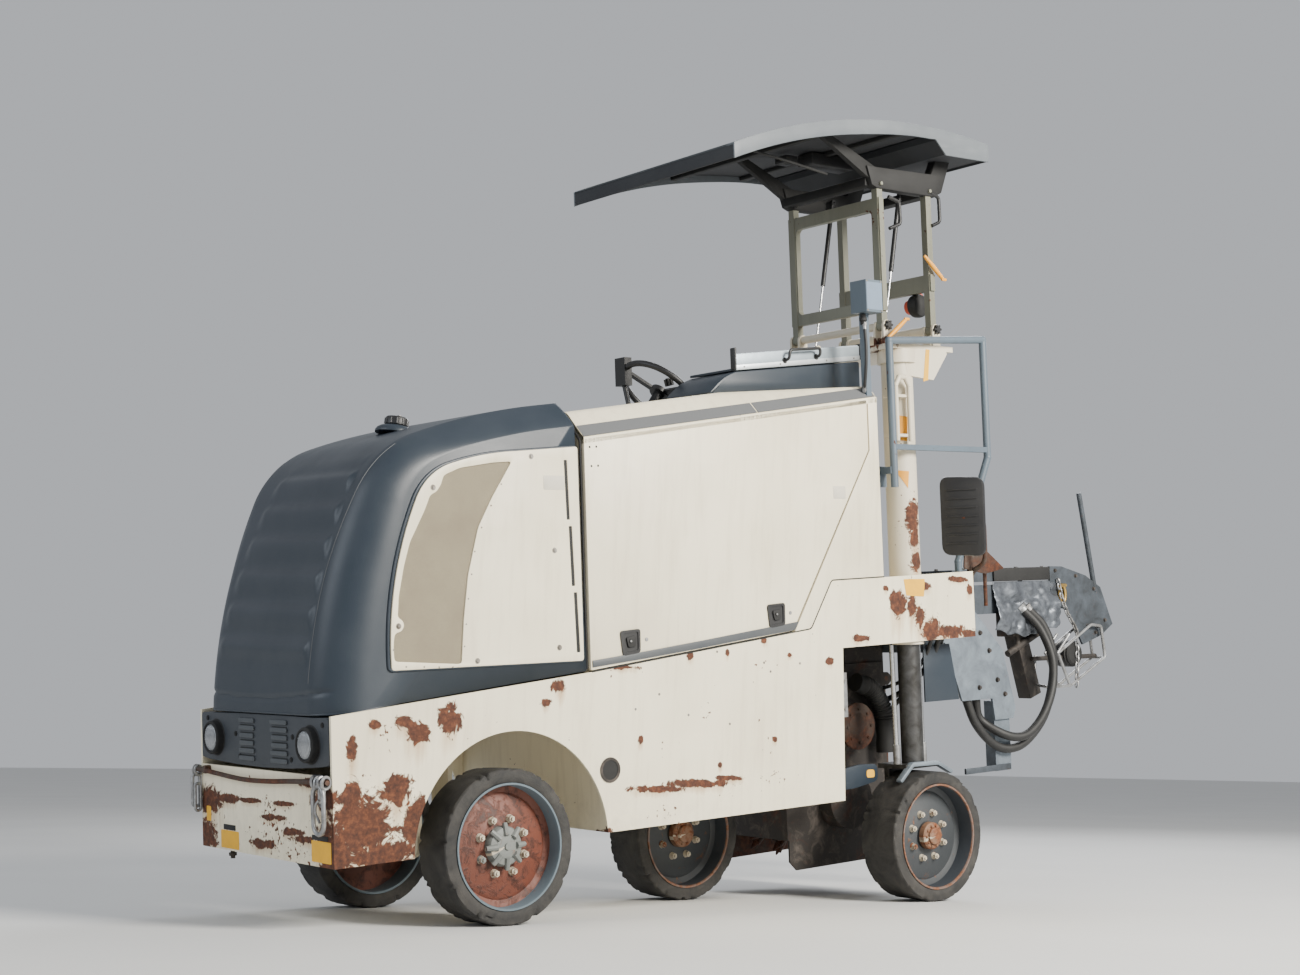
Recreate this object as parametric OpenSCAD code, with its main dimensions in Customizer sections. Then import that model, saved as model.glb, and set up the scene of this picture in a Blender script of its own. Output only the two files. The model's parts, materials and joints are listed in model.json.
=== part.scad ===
// Cold planer milling machine on four solid-tyred wheels, half-metre class.
// Every piece is drawn in the chassis frame: x forward of the front axle,
// y to the left, z above the front axle's centre. chassis() then sets the
// body down on its wheels, nose low and leaning a little to the left.

/* [Stance] */
// Nose-down pitch of the parked body in degrees
pitch = 5.2; // [2:0.1:7]
// Lean of the parked body to its left in degrees
roll = 2.2; // [0:0.1:3]
// Front axle, forward of the frame's origin
datum_x = 1609; // [1500:1:1700]
// Chassis centre, left of the frame's origin
datum_y = -77; // [-120:1:100]

/* [Body] */
// Half of the body's width
half = 500; // [480:5:540]
// Thickness of the body's steel plates
plate = 12; // [8:1:16]
// Front of the body, forward of the front axle
nose_u = 685; // [640:5:740]
// Underside of the body, above the front axle
belly_w = 15; // [0:5:40]
// Seam between hood and door
seam_u = -425; // [-460:5:-400]
// Top of the lower body at the nose
hood_front_w = 530; // [500:5:560]
// Top of the lower body at the seam
sill_w = 622; // [606:2:640]
// Rise of the sill from the seam to its step
sill_rise = 120; // [100:2:130]
// Front of the sill's step, ahead of the left column
step_ahead = 668; // [650:2:690]
// Rear of the sill's step, ahead of the left column
shelf_ahead = 540; // [510:5:560]
// Top of the rear box
shelf_w = 940; // [920:5:960]
// Rear end of the lower body, ahead of the left column
rear_ahead = 508; // [470:2:515]
// Rear end of the rear box, behind the left column
box_behind = 360; // [320:10:420]
// Underside of the rear box
box_low_w = 655; // [640:5:680]
// Radius of the front wheel arches
arch_r = 428; // [410:2:440]
// Centre of the front wheel arches, behind the front axle
arch_back = 60; // [50:5:70]
// Diameter of the exhaust hole
exhaust_d = 84; // [70:2:100]

/* [Hood and deck] */
// Half of the hood's width
hood_half = 490; // [470:5:490]
// Thickness of the moulded hood
hood_wall = 8; // [6:1:12]
// Top of the side doors at the seam
door_top_w = 1512; // [1490:2:1530]
// Slope of the deck in degrees, rising to the rear
deck_slope = 5.9; // [5:0.1:7]
// Width of the sloping shoulder along the deck
shoulder_in = 108; // [90:2:130]
// Height of the sloping shoulder
shoulder_up = 110; // [90:2:130]
// Rear end of the deck, ahead of the left column
deck_ahead = 220; // [180:5:240]
// Front of the operator's well, ahead of the left column
well_ahead = 1020; // [980:5:1060]
// Left edge of the operator's well
well_left = 20; // [0:5:40]
// Thickness of the side doors
door_t = 28; // [20:1:32]
// Gap round doors and lids
seam_gap = 7; // [6:0.5:9]

/* [Wheels] */
// Diameter of the solid tyres
tyre_d = 560; // [520:5:580]
// Width of the front tyres
front_tyre_w = 178; // [160:2:190]
// Width of the rear tyres
rear_tyre_w = 203; // [180:1:206]
// Height of the tyre's rubber section
rubber = 54; // [44:1:60]
// Radius of the tyre's shoulders
shoulder_r = 14; // [8:1:20]
// Diameter of the stud circle
stud_circle = 203; // [190:1:215]
// Number of wheel studs
studs = 8; // [6:1:10]
// Distance of the front wheels from the centre plane
front_track_half = 467; // [460:1:475]
// Rear wheels behind the front axle
wheelbase = 2260; // [2200:5:2320]
// Distance of the left rear wheel from the centre plane
rear_track_half = 454; // [448:1:462]

/* [Columns and swing arm] */
// Outer diameter of the columns' outer tubes
column_d = 140; // [130:1:144]
// Diameter of the legs inside the columns
leg_d = 100; // [90:1:110]
// Left column from the centre plane
column_left_v = 420; // [415:1:425]
// Top of the left column
column_top_w = 1900; // [1880:5:1960]
// Right column ahead of the left column
column_right_ahead = 560; // [554:1:570]
// Right column from the centre plane
column_right_v = 414; // [412:1:416]
// Swing arm's reach forward from its column to the wheel
arm_reach = 345; // [335:2:350]
// Swing arm's reach inward from its column to the wheel
arm_in = 254; // [250:1:256]

/* [Milling drum] */
// Drum axis ahead of the left column
drum_ahead = 90; // [80:2:100]
// Drum axis above the front axle
drum_w = -45; // [-50:1:-40]
// Working width of the drum
drum_width = 500; // [480:10:500]
// Diameter over the picks' tips
drum_tip_d = 570; // [550:5:574]
// Diameter of the drum's barrel
drum_d = 430; // [410:5:440]
// Right side of the drum from the centre plane
drum_right_v = 480; // [474:1:481]
// Rows of picks along one spiral
picks = 21; // [12:1:25]
// Number of spirals of picks
spirals = 3; // [2:1:4]

/* [Canopy] */
// Length of the roof
roof_l = 1585; // [1500:5:1650]
// Half of the roof's width
roof_half = 550; // [520:5:580]
// Front edge of the roof ahead of the left column
roof_ahead = 1045; // [1020:5:1070]
// Radius of the roof's arch
roof_r = 3060; // [2900:20:3300]
// Crown of the roof above the front axle
roof_crown_w = 2967; // [2940:1:2990]
// Height of the pivots at the canopy's foot
canopy_foot_w = 2070; // [2050:5:2080]
// Length of the canopy's links between their pivots
canopy_link = 640; // [620:5:650]
// Front links ahead of the left column
canopy_ahead = 60; // [50:5:70]
// Distance between front and rear links
canopy_pitch = 320; // [300:5:330]
// Left links from the centre plane
canopy_left_v = 400; // [395:1:404]
// Distance between left and right links
canopy_span = 540; // [520:5:560]

/* [Hidden] */

tyre_r = tyre_d / 2;
// Places told from the left column, ahead of it
function aft(ahead) = ahead - wheelbase;
step_u = aft(step_ahead);
shelf_u = aft(shelf_ahead);
rear_u = aft(rear_ahead);
box_end_u = aft(-box_behind);
deck_end_u = aft(deck_ahead);
well_front_u = aft(well_ahead);
column_right_back = wheelbase - column_right_ahead;
drum_back = wheelbase - drum_ahead;
canopy_front_back = wheelbase - canopy_ahead;
roof_front_back = wheelbase - roof_ahead;
fit = 0.3;
cream = [0.93, 0.90, 0.80];
slate = [0.27, 0.30, 0.34];
steel = [0.60, 0.63, 0.66];
black = [0.08, 0.08, 0.09];
rail_blue = [0.32, 0.38, 0.44];

// Height of the ground below the chassis frame's origin at (u, v), for the
// centre of a wheel that leans with the body and stands on its tyre's edge
lean = asin(sin(roll) * cos(pitch));
function stand(width) =
    (tyre_r - shoulder_r) * cos(lean) + (width / 2 - shoulder_r) * sin(lean) + shoulder_r;
function wheel_w(u, v, width) =
    ((stand(width) - tyre_r + u * sin(pitch)) / cos(pitch) + v * sin(roll)) / cos(roll);

rear_left_w = wheel_w(-wheelbase, rear_track_half, rear_tyre_w);
arm_u = -column_right_back + arm_reach;
arm_v = -column_right_v + arm_in;
rear_right_w = wheel_w(arm_u, arm_v, rear_tyre_w);

module chassis()
    translate([datum_x, datum_y, tyre_r]) rotate([-roll, pitch, 0]) children();

module level()
    translate([datum_x, datum_y, tyre_r]) rotate([0, pitch, 0]) children();

// A flat shape in (u, w) carried across from y = v0 to y = v1
module across(v0, v1)
    translate([0, v1, 0]) rotate([90, 0, 0]) linear_extrude(v1 - v0) children();

// A flat shape in (v, w) carried along from x = u0 to x = u1
module along(u0, u1)
    translate([u0, 0, 0]) rotate([90, 0, 90]) linear_extrude(u1 - u0) children();

// A box between two corners
module span(a, b)
    translate([min(a.x, b.x), min(a.y, b.y), min(a.z, b.z)])
        cube([abs(b.x - a.x), abs(b.y - a.y), abs(b.z - a.z)]);

// A round bar between two points
module bar(a, b, d) {
    run = b - a;
    flat = norm([run.x, run.y]);
    translate(a)
        rotate([0, atan2(flat, run.z), atan2(run.y, run.x)])
            cylinder(h = norm(run), d = d, $fn = 32);
}

// A bent round tube through a list of points, with a ball at each bend
module tube(points, d)
    union() {
        for (i = [0:len(points) - 2]) bar(points[i], points[i + 1], d);
        for (i = [1:len(points) - 2]) translate(points[i]) sphere(d = d + 2, $fn = 32);
    }

// Points along a path of straights and arcs: rows are [length, turn, steps]
function chord(run, turn, steps) =
    turn == 0 ? run / steps : 2 * run / (turn * PI / 180) * sin(turn / steps / 2);
function trace(p, h, rows, i = 0) =
    i == len(rows) ? [p] :
    let (run = rows[i][0], turn = rows[i][1], n = rows[i][2], c = chord(run, turn, n),
         pts = [for (k = 0, q = p; k <= n;
                     q = q + c * [cos(h + turn * (k + 0.5) / n), sin(h + turn * (k + 0.5) / n)],
                     k = k + 1) q])
    concat([for (k = [0:n - 1]) pts[k]], trace(pts[n], h + turn, rows, i + 1));

// Lower body
lamp_low_w = 325;
axle_bay_w = 432;
bay_front_u = 385;
bay_rear_u = -502;
sweep_r = norm([arm_reach + tyre_r, arm_in + rear_tyre_w / 2]);
wheel_bay_front_u = sweep_r + 15 - column_right_back;
wheel_bay_in_v = arm_v + rear_tyre_w / 2 + 12;
wheel_bay_w = 560;
side_gap = 3;

function sill_at(u) = sill_w + sill_rise * (seam_u - u) / (seam_u - step_u);
function shelf_at(u) = shelf_w + 25 * (shelf_u - u) / (shelf_u - box_end_u);
floor_w = shelf_w + 10;

module body_side(low_u, high_u, high_w, end_w)
    polygon([
        [nose_u, belly_w], [nose_u, hood_front_w], [seam_u, sill_w],
        [low_u, sill_at(low_u)], [high_u, high_w],
        [box_end_u, end_w], [box_end_u, box_low_w + 15],
        [rear_u - 22, box_low_w], [rear_u, belly_w]
    ]);

module arch_hole()
    translate([-arch_back, 0]) circle(r = arch_r, $fn = 96);

module hull_left_side()
    across(half - plate, half)
        difference() {
            body_side(step_u, shelf_u, shelf_w, shelf_at(box_end_u));
            arch_hole();
            translate([-506, 249]) circle(d = exhaust_d, $fn = 48);
        }

module hull_right_side()
    across(-half, plate - half)
        difference() {
            body_side(well_front_u + plate, well_front_u + plate - 1, floor_w - 22, floor_w - 22);
            arch_hole();
            translate([rear_u - 60, belly_w - 20])
                square([wheel_bay_front_u - rear_u + 60, wheel_bay_w - belly_w + 20]);
        }

// Rear box round the left column
box_in_v = 300;
column_bore = column_d + 2 * fit;
module rear_box()
    difference() {
        span([rear_u, box_in_v, box_low_w + 15], [box_end_u, half - plate, shelf_w]);
        span([rear_u, box_in_v + plate, box_low_w + 15 + plate],
             [box_end_u + plate, half - plate, shelf_w - plate]);
    }

// Bracket that carries the front axle's pivot pin
pivot_pin_d = 50;
bracket_gap = 61;
bracket_t = 20;
module axle_bracket()
    difference() {
        for (s = [-1, 1]) {
            mid = s * (bracket_gap + bracket_t / 2);
            along(mid - bracket_t / 2, mid + bracket_t / 2)
                union() {
                    circle(d = 120, $fn = 48);
                    translate([-60, 0]) square([120, axle_bay_w]);
                }
        }
        bar([-bracket_gap - bracket_t - 1, 0, 0], [bracket_gap + bracket_t + 1, 0, 0],
            pivot_pin_d + 2 * fit);
    }

module hull()
    color(cream) chassis() union() {
        hull_right_side();
        difference() {
            union() {
                hull_left_side();
                rear_box();
            }
            translate([-wheelbase, column_left_v, box_low_w - 20])
                cylinder(h = shelf_w, d = column_bore, $fn = 64);
        }
        axle_bracket();
        // front plate, belly and walls of the axle bay
        span([nose_u - plate, -half, belly_w], [nose_u, half, lamp_low_w]);
        span([nose_u, -half, belly_w], [bay_front_u - plate, half, belly_w + plate]);
        span([bay_front_u, -half, belly_w], [bay_front_u - plate, half, axle_bay_w + plate]);
        span([bay_front_u, -half, axle_bay_w], [bay_rear_u, half, axle_bay_w + plate]);
        span([bay_rear_u, -half, belly_w], [bay_rear_u + plate, half, sill_w]);
        // belly and walls of the middle, round the bay of the swung-in wheel
        span([bay_rear_u, -half, belly_w], [wheel_bay_front_u, half, belly_w + plate]);
        span([wheel_bay_front_u, wheel_bay_in_v, belly_w], [rear_u, half, belly_w + plate]);
        span([wheel_bay_front_u, -half, belly_w], [wheel_bay_front_u + plate, half, sill_w]);
        span([wheel_bay_front_u, wheel_bay_in_v, belly_w],
             [rear_u, wheel_bay_in_v + plate, wheel_bay_w]);
        difference() {
            union() {
                span([wheel_bay_front_u, -half, wheel_bay_w],
                     [rear_u, wheel_bay_in_v + plate, wheel_bay_w + plate]);
                span([rear_u, -half, wheel_bay_w], [rear_u + plate, half, shelf_w - plate]);
            }
            translate([-column_right_back, -column_right_v, wheel_bay_w - 1])
                cylinder(h = shelf_w - wheel_bay_w, d = column_bore, $fn = 64);
        }
        span([rear_u, wheel_bay_in_v, belly_w], [rear_u + plate, box_in_v - 2, floor_w - 22]);
        span([rear_u, box_in_v - 2, belly_w], [rear_u + plate, half, shelf_w]);
        // beams under the deck's bulkhead and the engine
        span([seam_u - 30, -half, sill_w - 60], [seam_u, half, sill_w]);
    }

// Grey panel with the lamp openings and louvres at the nose
lamp_v = 360;
lamp_w = 430;
lamp_d = 112;
louvre_rows = 6;
module front_panel()
    color(slate) chassis()
        difference() {
            along(nose_u - 40, nose_u)
                translate([plate - half, lamp_low_w]) square([2 * (half - plate),
                     hood_front_w - lamp_low_w - side_gap]);
            for (s = [-1, 1]) {
                bar([nose_u - 30, s * lamp_v, lamp_w], [nose_u + 1, s * lamp_v, lamp_w], lamp_d + 2);
                for (i = [0:louvre_rows - 1])
                    translate([nose_u - 15, s * 150, 355 + i * 25])
                        translate([0, -75, 0]) cube([16, 150, 12]);
            }
        }

module headlamps()
    color("silver") chassis()
        for (s = [-1, 1])
            translate([nose_u - 30 + fit, s * lamp_v, lamp_w])
                rotate([0, 90, 0]) {
                    cylinder(h = 32, d = lamp_d, $fn = 64);
                    translate([0, 0, 32])
                        intersection() {
                            cylinder(h = 20, d = lamp_d - 14, $fn = 64);
                            translate([0, 0, -110]) sphere(d = 250, $fn = 64);
                        }
                }

// Bar with shackles across the bumper plate
module lashing_bar()
    color(steel) chassis()
        union() {
            bar([nose_u + 22, -half + 60, 290], [nose_u + 22, half - 60, 290], 24);
            for (s = [-1, 1]) {
                span([nose_u, s * (half - 75) - 10, 268], [nose_u + 38, s * (half - 75) + 10, 312]);
                translate([nose_u + 22, s * (half - 28), 240]) rotate([0, 0, 90])
                    difference() {
                        union() {
                            rotate([90, 0, 0]) translate([0, 0, -7]) cylinder(h = 14, d = 70, $fn = 48);
                            translate([-35, -7, 0]) cube([70, 14, 62]);
                        }
                        rotate([90, 0, 0]) translate([0, 0, -8]) cylinder(h = 16, d = 42, $fn = 48);
                    }
                bar([nose_u + 22, s * (half - 75), 290], [nose_u + 22, s * (half - 4), 290], 16);
            }
        }

module engine_block()
    color("dimgray") chassis()
        span([bay_front_u - 20, -270, axle_bay_w + plate], [seam_u + 60, 270, 1190]);

// Hood: its side outline runs up the nose and back over the top by arcs
hood_low_gap = seam_gap;
function hood_outline(inset) =
    let (nose = trace([nose_u + 10 - inset, hood_front_w + hood_low_gap], 93,
                      [[800 - inset, 22, 8], [330 - inset * 0.8, 47, 10], [560, 11, 5]]))
    concat([for (p = nose) p],
           [[seam_u + seam_gap + (inset > 0 ? -1 : 0), hood_top_w - inset],
            [seam_u + seam_gap + (inset > 0 ? -1 : 0), sill_w + hood_low_gap - (inset > 0 ? 1 : 0)]]);
hood_top_w = door_top_w + shoulder_up;

// Cross-section of hood and deck with sloping shoulders
module crown_section(side, top, low, in, up)
    polygon([
        [-side, low], [-side, top - up], [-side + in, top],
        [side - in, top], [side, top - up], [side, low]
    ]);

// Plan of the hood with round front corners
hood_corner_r = 130;
module hood_plan(inset)
    union() {
        translate([seam_u - 20, inset - hood_half])
            square([nose_u - seam_u - hood_corner_r + 20, 2 * (hood_half - inset)]);
        translate([seam_u - 20, inset - hood_half + hood_corner_r])
            square([nose_u + 60 - inset - seam_u, 2 * (hood_half - inset - hood_corner_r)]);
        for (s = [-1, 1])
            translate([nose_u + 12 - hood_corner_r, s * (hood_half - hood_corner_r)])
                circle(r = hood_corner_r - inset, $fn = 64);
    }

module hood_form(inset)
    intersection() {
        across(-half, half) polygon(hood_outline(inset));
        along(seam_u - 10, nose_u + 60)
            crown_section(hood_half - inset, hood_top_w + 60, 400, shoulder_in, shoulder_up + 60);
        linear_extrude(hood_top_w + 200) hood_plan(inset);
    }

module hood()
    color(slate) chassis() difference() {
        union() {
            difference() {
                hood_form(0);
                translate([0, 0, -0.01]) hood_form(hood_wall);
                hood_underside();
            }
            for (v = hood_hinge_vs) at_hood_hinge(v) {
                bar([0, -25, 0], [0, 25, 0], 14);
                span([1, -25, -11], [42, 25, -3]);
            }
        }
        for (v = hood_hinge_vs) at_hood_hinge(v) bar([0, -30, 0], [0, 30, 0], 8 + 2 * fit);
    }

// Hinges of the hood, across the seam at its rear edge
hood_hinge_vs = [-250, 250];
module at_hood_hinge(v)
    translate([seam_u + seam_gap / 2, v, hood_top_w + 9]) children();

// Everything below the hood's lower edge
module hood_underside()
    across(-half - 1, half + 1)
        polygon([[nose_u + 80, hood_front_w + hood_low_gap],
                 [nose_u - 40, hood_front_w + hood_low_gap],
                 [seam_u - 10, sill_w + hood_low_gap],
                 [seam_u - 10, 300], [nose_u + 80, 300]]);

// Cream side panel with its mesh window, on the side of the hood
panel_t = 9;
module hood_panel()
    across(hood_half, hood_half + panel_t)
        difference() {
            polygon(concat(
                [[seam_u + 25, 668], [seam_u + 25, 1478]],
                trace([-120, 1455], -3, [[300, -14, 6], [200, -48, 8], [620, -28, 9]])));
            for (i = [0:2])
                translate([seam_u + 42 + i * 14, 698 + i * 250]) square([16, 228]);
        }

module hood_panel_left() color(cream) chassis() hood_panel();
module hood_panel_right() color(cream) chassis() mirror([0, 1, 0]) hood_panel();

// Deck over the middle, with shoulders on both sides ahead of the operator
deck_t = 8;
module deck_shell(u0, u1, v0, v1)
    intersection() {
        difference() {
            deck_run(half, 0);
            deck_run(half - deck_t, deck_t);
        }
        span([u0, v0, 1000], [u1, v1, 2400]);
    }

module deck_run(side, drop)
    translate([seam_u, 0, hood_top_w]) rotate([0, deck_slope, 0])
        translate([0, 0, -hood_top_w - drop])
            along(-2000, 200) crown_section(side, hood_top_w, door_top_w + 2 - drop, shoulder_in,
                 shoulder_up - 6);

// Height of the lower lip of the deck's shell
function lip_at(u) = hood_top_w + deck_rise(u) - (shoulder_up - 2) / cos(deck_slope);

// The room under the deck's shell, down to the floor
module deck_room(drop)
    translate([seam_u, 0, hood_top_w]) rotate([0, deck_slope, 0])
        translate([0, 0, -hood_top_w - drop])
            along(-2000, 200) crown_section(half - drop, hood_top_w, 200, shoulder_in, shoulder_up - 6);

module deck()
    color(cream) chassis() union() {
        deck_shell(seam_u, well_front_u, -half, half);
        deck_shell(well_front_u, deck_end_u, well_left, half);
        // bulkheads before and behind the door, up to the shell
        intersection() {
            deck_room(deck_t / 2);
            union() {
                span([seam_u - 30, door_t - half, sill_w], [seam_u - 3, frame_v, 2000]);
                span([deck_end_u + 3, well_left + plate, floor_w], [deck_end_u + 30, box_in_v - 2, 2000]);
                span([deck_end_u + 3, box_in_v - 2, shelf_w], [deck_end_u + 30, frame_v, 2000]);
            }
        }
        // ears and pins of the hood's hinges
        for (v = hood_hinge_vs) at_hood_hinge(v) {
            bar([0, -38, 0], [0, 38, 0], 8);
            for (s = [-1, 1]) across(s * 32 - 5.5, s * 32 + 5.5) union() {
                circle(d = 15, $fn = 32);
                polygon([[0, 7], [-40, 2], [-40, -11], [-7, -11], [-7, -3]]);
            }
        }
        // ears and pins of the door's hinges
        for (u = hinge_us) at_hinge(u) {
            bar([-hinge_l / 2 - 12, 0, 0], [hinge_l / 2 + 12, 0, 0], 8);
            for (s = [-1, 1])
                along(s * (hinge_l / 2 + 7) - 5.5, s * (hinge_l / 2 + 7) + 5.5) union() {
                    circle(d = 16, $fn = 32);
                    translate([-14, 0]) square([14, 8]);
                    translate([-22, 4]) square([14, 14]);
                }
        }
    }

frame_v = half - door_t - 8;
hinge_v = half + 10;
hinge_lift = 1;
hinge_us = [-560, aft(1100), aft(500)];
hinge_l = 60;
module at_hinge(u)
    translate([u, hinge_v, door_top_w + hinge_lift + deck_rise(u)]) rotate([0, deck_slope, 0]) children();

function deck_rise(u) = (seam_u - u) * tan(deck_slope);
function deck_top(u) = hood_top_w + deck_rise(u);

// Side door: bottom follows the sill, rear edge is the slanting seam
door_rear_low = aft(763);
door_rear_top = aft(275);
module door_shape()
    polygon([
        [seam_u - seam_gap, sill_at(seam_u) + seam_gap],
        [door_rear_low + seam_gap, sill_at(door_rear_low) + seam_gap],
        [door_rear_top + seam_gap, 1500],
        [door_rear_top + seam_gap, door_top_w - 4 + deck_rise(door_rear_top)],
        [seam_u - seam_gap, door_top_w - 4]
    ]);

module left_door()
    color(cream) chassis() difference() {
        union() {
            across(half - door_t, half) door_shape();
            for (u = hinge_us) at_hinge(u) {
                bar([-hinge_l / 2, 0, 0], [hinge_l / 2, 0, 0], 16);
                span([-hinge_l / 2, -4 - 8, -12], [hinge_l / 2, 0, -3]);
            }
        }
        for (u = hinge_us) at_hinge(u) bar([-hinge_l, 0, 0], [hinge_l, 0, 0], 8 + 2 * fit);
    }

module rear_panel_left()
    color(cream) chassis() across(half - door_t, half)
        polygon([
            [door_rear_low, sill_at(door_rear_low)], [step_u, sill_at(step_u)], [shelf_u, shelf_w],
            [deck_end_u, shelf_at(deck_end_u)], [deck_end_u, lip_at(deck_end_u)],
            [door_rear_top, lip_at(door_rear_top)],
            [door_rear_top, 1500]
        ]);

module right_side_panel()
    color(cream) chassis() across(-half, door_t - half)
        polygon([
            [seam_u, sill_w], [well_front_u + plate, sill_at(well_front_u + plate)],
            [well_front_u + plate, floor_w], [well_front_u, floor_w],
            [well_front_u, lip_at(well_front_u)], [seam_u, lip_at(seam_u)]
        ]);

// Operator's well: floor, front wall, left wall and a low right wall
floor_end_u = aft(-300);
module cockpit()
    color(slate) chassis() difference() {
        cockpit_walls();
        translate([-column_right_back, -column_right_v, floor_w - 60])
            cylinder(h = 100, d = column_bore, $fn = 64);
    }

module cockpit_walls()
    union() {
        span([well_front_u + plate, plate - half, floor_w - 40],
             [rear_u + plate, well_left + plate, floor_w]);
        span([rear_u + plate, -half, floor_w - 22], [floor_end_u, box_in_v - 2, floor_w]);
        intersection() {
            deck_room(deck_t);
            union() {
                span([well_front_u + plate, door_t - half, floor_w - 40],
                     [well_front_u, well_left + plate, 2000]);
                span([well_front_u, well_left, floor_w - 22], [deck_end_u, well_left + plate, 2000]);
            }
        }
        span([well_front_u, -half, floor_w - 22], [floor_end_u + 300, plate - half, 1330]);
        span([well_front_u + plate, -half, floor_w - 22], [well_front_u - 1, plate - half + 1, floor_w]);
    }

console_front_u = aft(875);
console_end_u = aft(185);
console_left_v = 320;
console_h = 79.5;
console_top_w = deck_top(console_end_u) + console_h;
module console()
    color(slate) chassis() union() {
        difference() {
            across(well_left, console_left_v)
                polygon([
                    [console_front_u + 150, deck_top(console_front_u + 150) - 6],
                    [console_front_u, console_top_w - 15],
                    [console_front_u - 30, console_top_w], [console_end_u, console_top_w],
                    [console_end_u, deck_top(console_end_u) - 47]
                ]);
            deck_run(half + 1, 0);
        }
        for (u = lid_hinge_us) at_lid_hinge(u) {
            bar([-38, 0, 0], [38, 0, 0], 8);
            for (s = [-1, 1]) along(s * 32 - 5.5, s * 32 + 5.5) union() {
                circle(d = 15, $fn = 32);
                polygon([[6, 0], [6, -30], [-8, -30], [-8, -3]]);
            }
        }
    }

// Hinges of the console's lid, along its left edge
lid_hinge_us = [console_front_u - 120, console_end_u + 120];
module at_lid_hinge(u)
    translate([u, console_left_v + 2, console_top_w + 8]) children();

module console_lid()
    color(steel) chassis() difference() {
        lid_form();
        for (u = lid_hinge_us) at_lid_hinge(u) bar([-30, 0, 0], [30, 0, 0], 8 + 2 * fit);
    }

module lid_form()
    union() {
        for (u = lid_hinge_us) at_lid_hinge(u) {
            bar([-25, 0, 0], [25, 0, 0], 14);
            span([-25, -14, -4], [25, -2, 5]);
        }
        across(well_left + 15, console_left_v - 10)
            polygon([
                [console_front_u - 45, console_top_w + fit], [console_front_u - 45, console_top_w + 80],
                [console_end_u + 20, console_top_w + 125], [console_end_u + 20, console_top_w + fit]
            ]);
        tube([[aft(540), 200, console_top_w + 95], [aft(540), 200, console_top_w + 135],
              [aft(400), 200, console_top_w + 140], [aft(400), 200, console_top_w + 100]], 16);
    }

wheel_centre = [aft(860), -210, 1800];
module steering_column()
    color(black) chassis() union() {
        bar([well_front_u - plate - 30, -210, 1640], wheel_centre, 50);
        span([well_front_u, -260, 1560], [well_front_u - 72, -160, 1680]);
        translate(wheel_centre) rotate([0, -42, 0]) {
            rotate_extrude($fn = 96) translate([185, 0]) circle(d = 28, $fn = 24);
            cylinder(h = 20, d = 90, center = true, $fn = 48);
            for (a = [90, 210, 330]) rotate([0, 0, a])
                translate([0, -14, -6]) cube([185, 28, 12]);
        }
        // small lamp on a stalk
        bar([well_front_u - 32, -245, 1660], [well_front_u - 32, -300, 1850], 22);
        span([well_front_u - 12, -335, 1835], [well_front_u - 52, -265, 1960]);
    }

module seat()
    color(black) chassis() union() {
        span([aft(460), -460, 1290], [aft(20), -60, 1390]);
        span([aft(80), -450, 1390], [aft(-20), -70, 1800]);
        span([aft(360), -330, floor_w], [aft(110), -190, 1290]);
    }

// Bent tube rail beside the left column, and the rail's lower stay
rail_d = 34;
rail_front_u = aft(145);
rail_end_u = aft(-475);
rail_v = 517;
module handrail()
    color(rail_blue) chassis() union() {
        tube([[rail_front_u, rail_v, 1340], [rail_front_u, rail_v, 1985], [rail_end_u, rail_v, 2025],
              [rail_end_u, rail_v, 1482], [aft(-315), half - 45, shelf_w + 70], [aft(-315),
                   half - 45, shelf_w + 2]], rail_d);
        span([aft(-352), half - 78, shelf_w], [aft(-275), half - 14, shelf_w + 8]);
        span([rail_front_u, rail_v - 12, 1505], [rail_end_u, rail_v + 12, 1529]);
        span([rail_front_u - 18, half - 70, 1400], [rail_front_u + 22, rail_v, 1430]);
        span([rail_front_u - 20, half - 70, 1345], [deck_end_u + 3, half - 50, 1435]);
    }

grab_v = 512;
module grab_rail()
    color(cream) chassis() difference() {
        union() {
            tube([[aft(110), grab_v, 1545], [aft(110), grab_v, 1790], [aft(85), grab_v, 1828],
                  [aft(48), grab_v, 1828], [aft(25), grab_v, 1790], [aft(25), grab_v, 1545]], 22);
            for (w = [1565, 1740]) span([aft(118), 440, w], [aft(17), grab_v - 4, w + 12]);
        }
        translate([-wheelbase, column_left_v, 1000]) cylinder(h = 1000, d = column_d + 0.2, $fn = 64);
    }

module side_mirror()
    color(black) chassis() union() {
        translate([aft(-240), 560, 1210]) rotate([0, 0, 30])
            span([-22, -100, -185], [22, 100, 185]);
        tube([[aft(-245), 560, 1200], [aft(-380), 560, 1200], [aft(-380), 560, 1000], [aft(-380),
             470, 960], [aft(-380), 470, 880]], 22);
        span([box_end_u, half - 60, 860], [box_end_u - 26, half - 20, 935]);
    }

module junction_box()
    color(rail_blue) chassis() union() {
        span([aft(305), 450, 2100], [aft(205), 545, 2240]);
        difference() {
            span([aft(270), 462, 1640], [aft(240), 492, 2100]);
            deck_room(0);
        }
    }

// Front axle: a beam on a fore-and-aft pin, with a kingpin at each end
beam_h = 100;
kingpin_v = 345;
kingpin_d = 40;
module front_axle()
    color("dimgray") level() difference() {
        union() {
            span([-55, -kingpin_v, -beam_h / 2], [55, kingpin_v, beam_h / 2]);
            bar([-bracket_gap - bracket_t - 10, 0, 0], [bracket_gap + bracket_t + 10, 0, 0], pivot_pin_d);
            for (s = [-1, 1])
                translate([0, s * kingpin_v, -beam_h / 2]) cylinder(h = beam_h, d = 90, $fn = 48);
        }
        for (s = [-1, 1])
            translate([0, s * kingpin_v, -beam_h / 2 - 1])
                cylinder(h = beam_h + 2, d = kingpin_d + 2 * fit, $fn = 48);
    }

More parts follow.
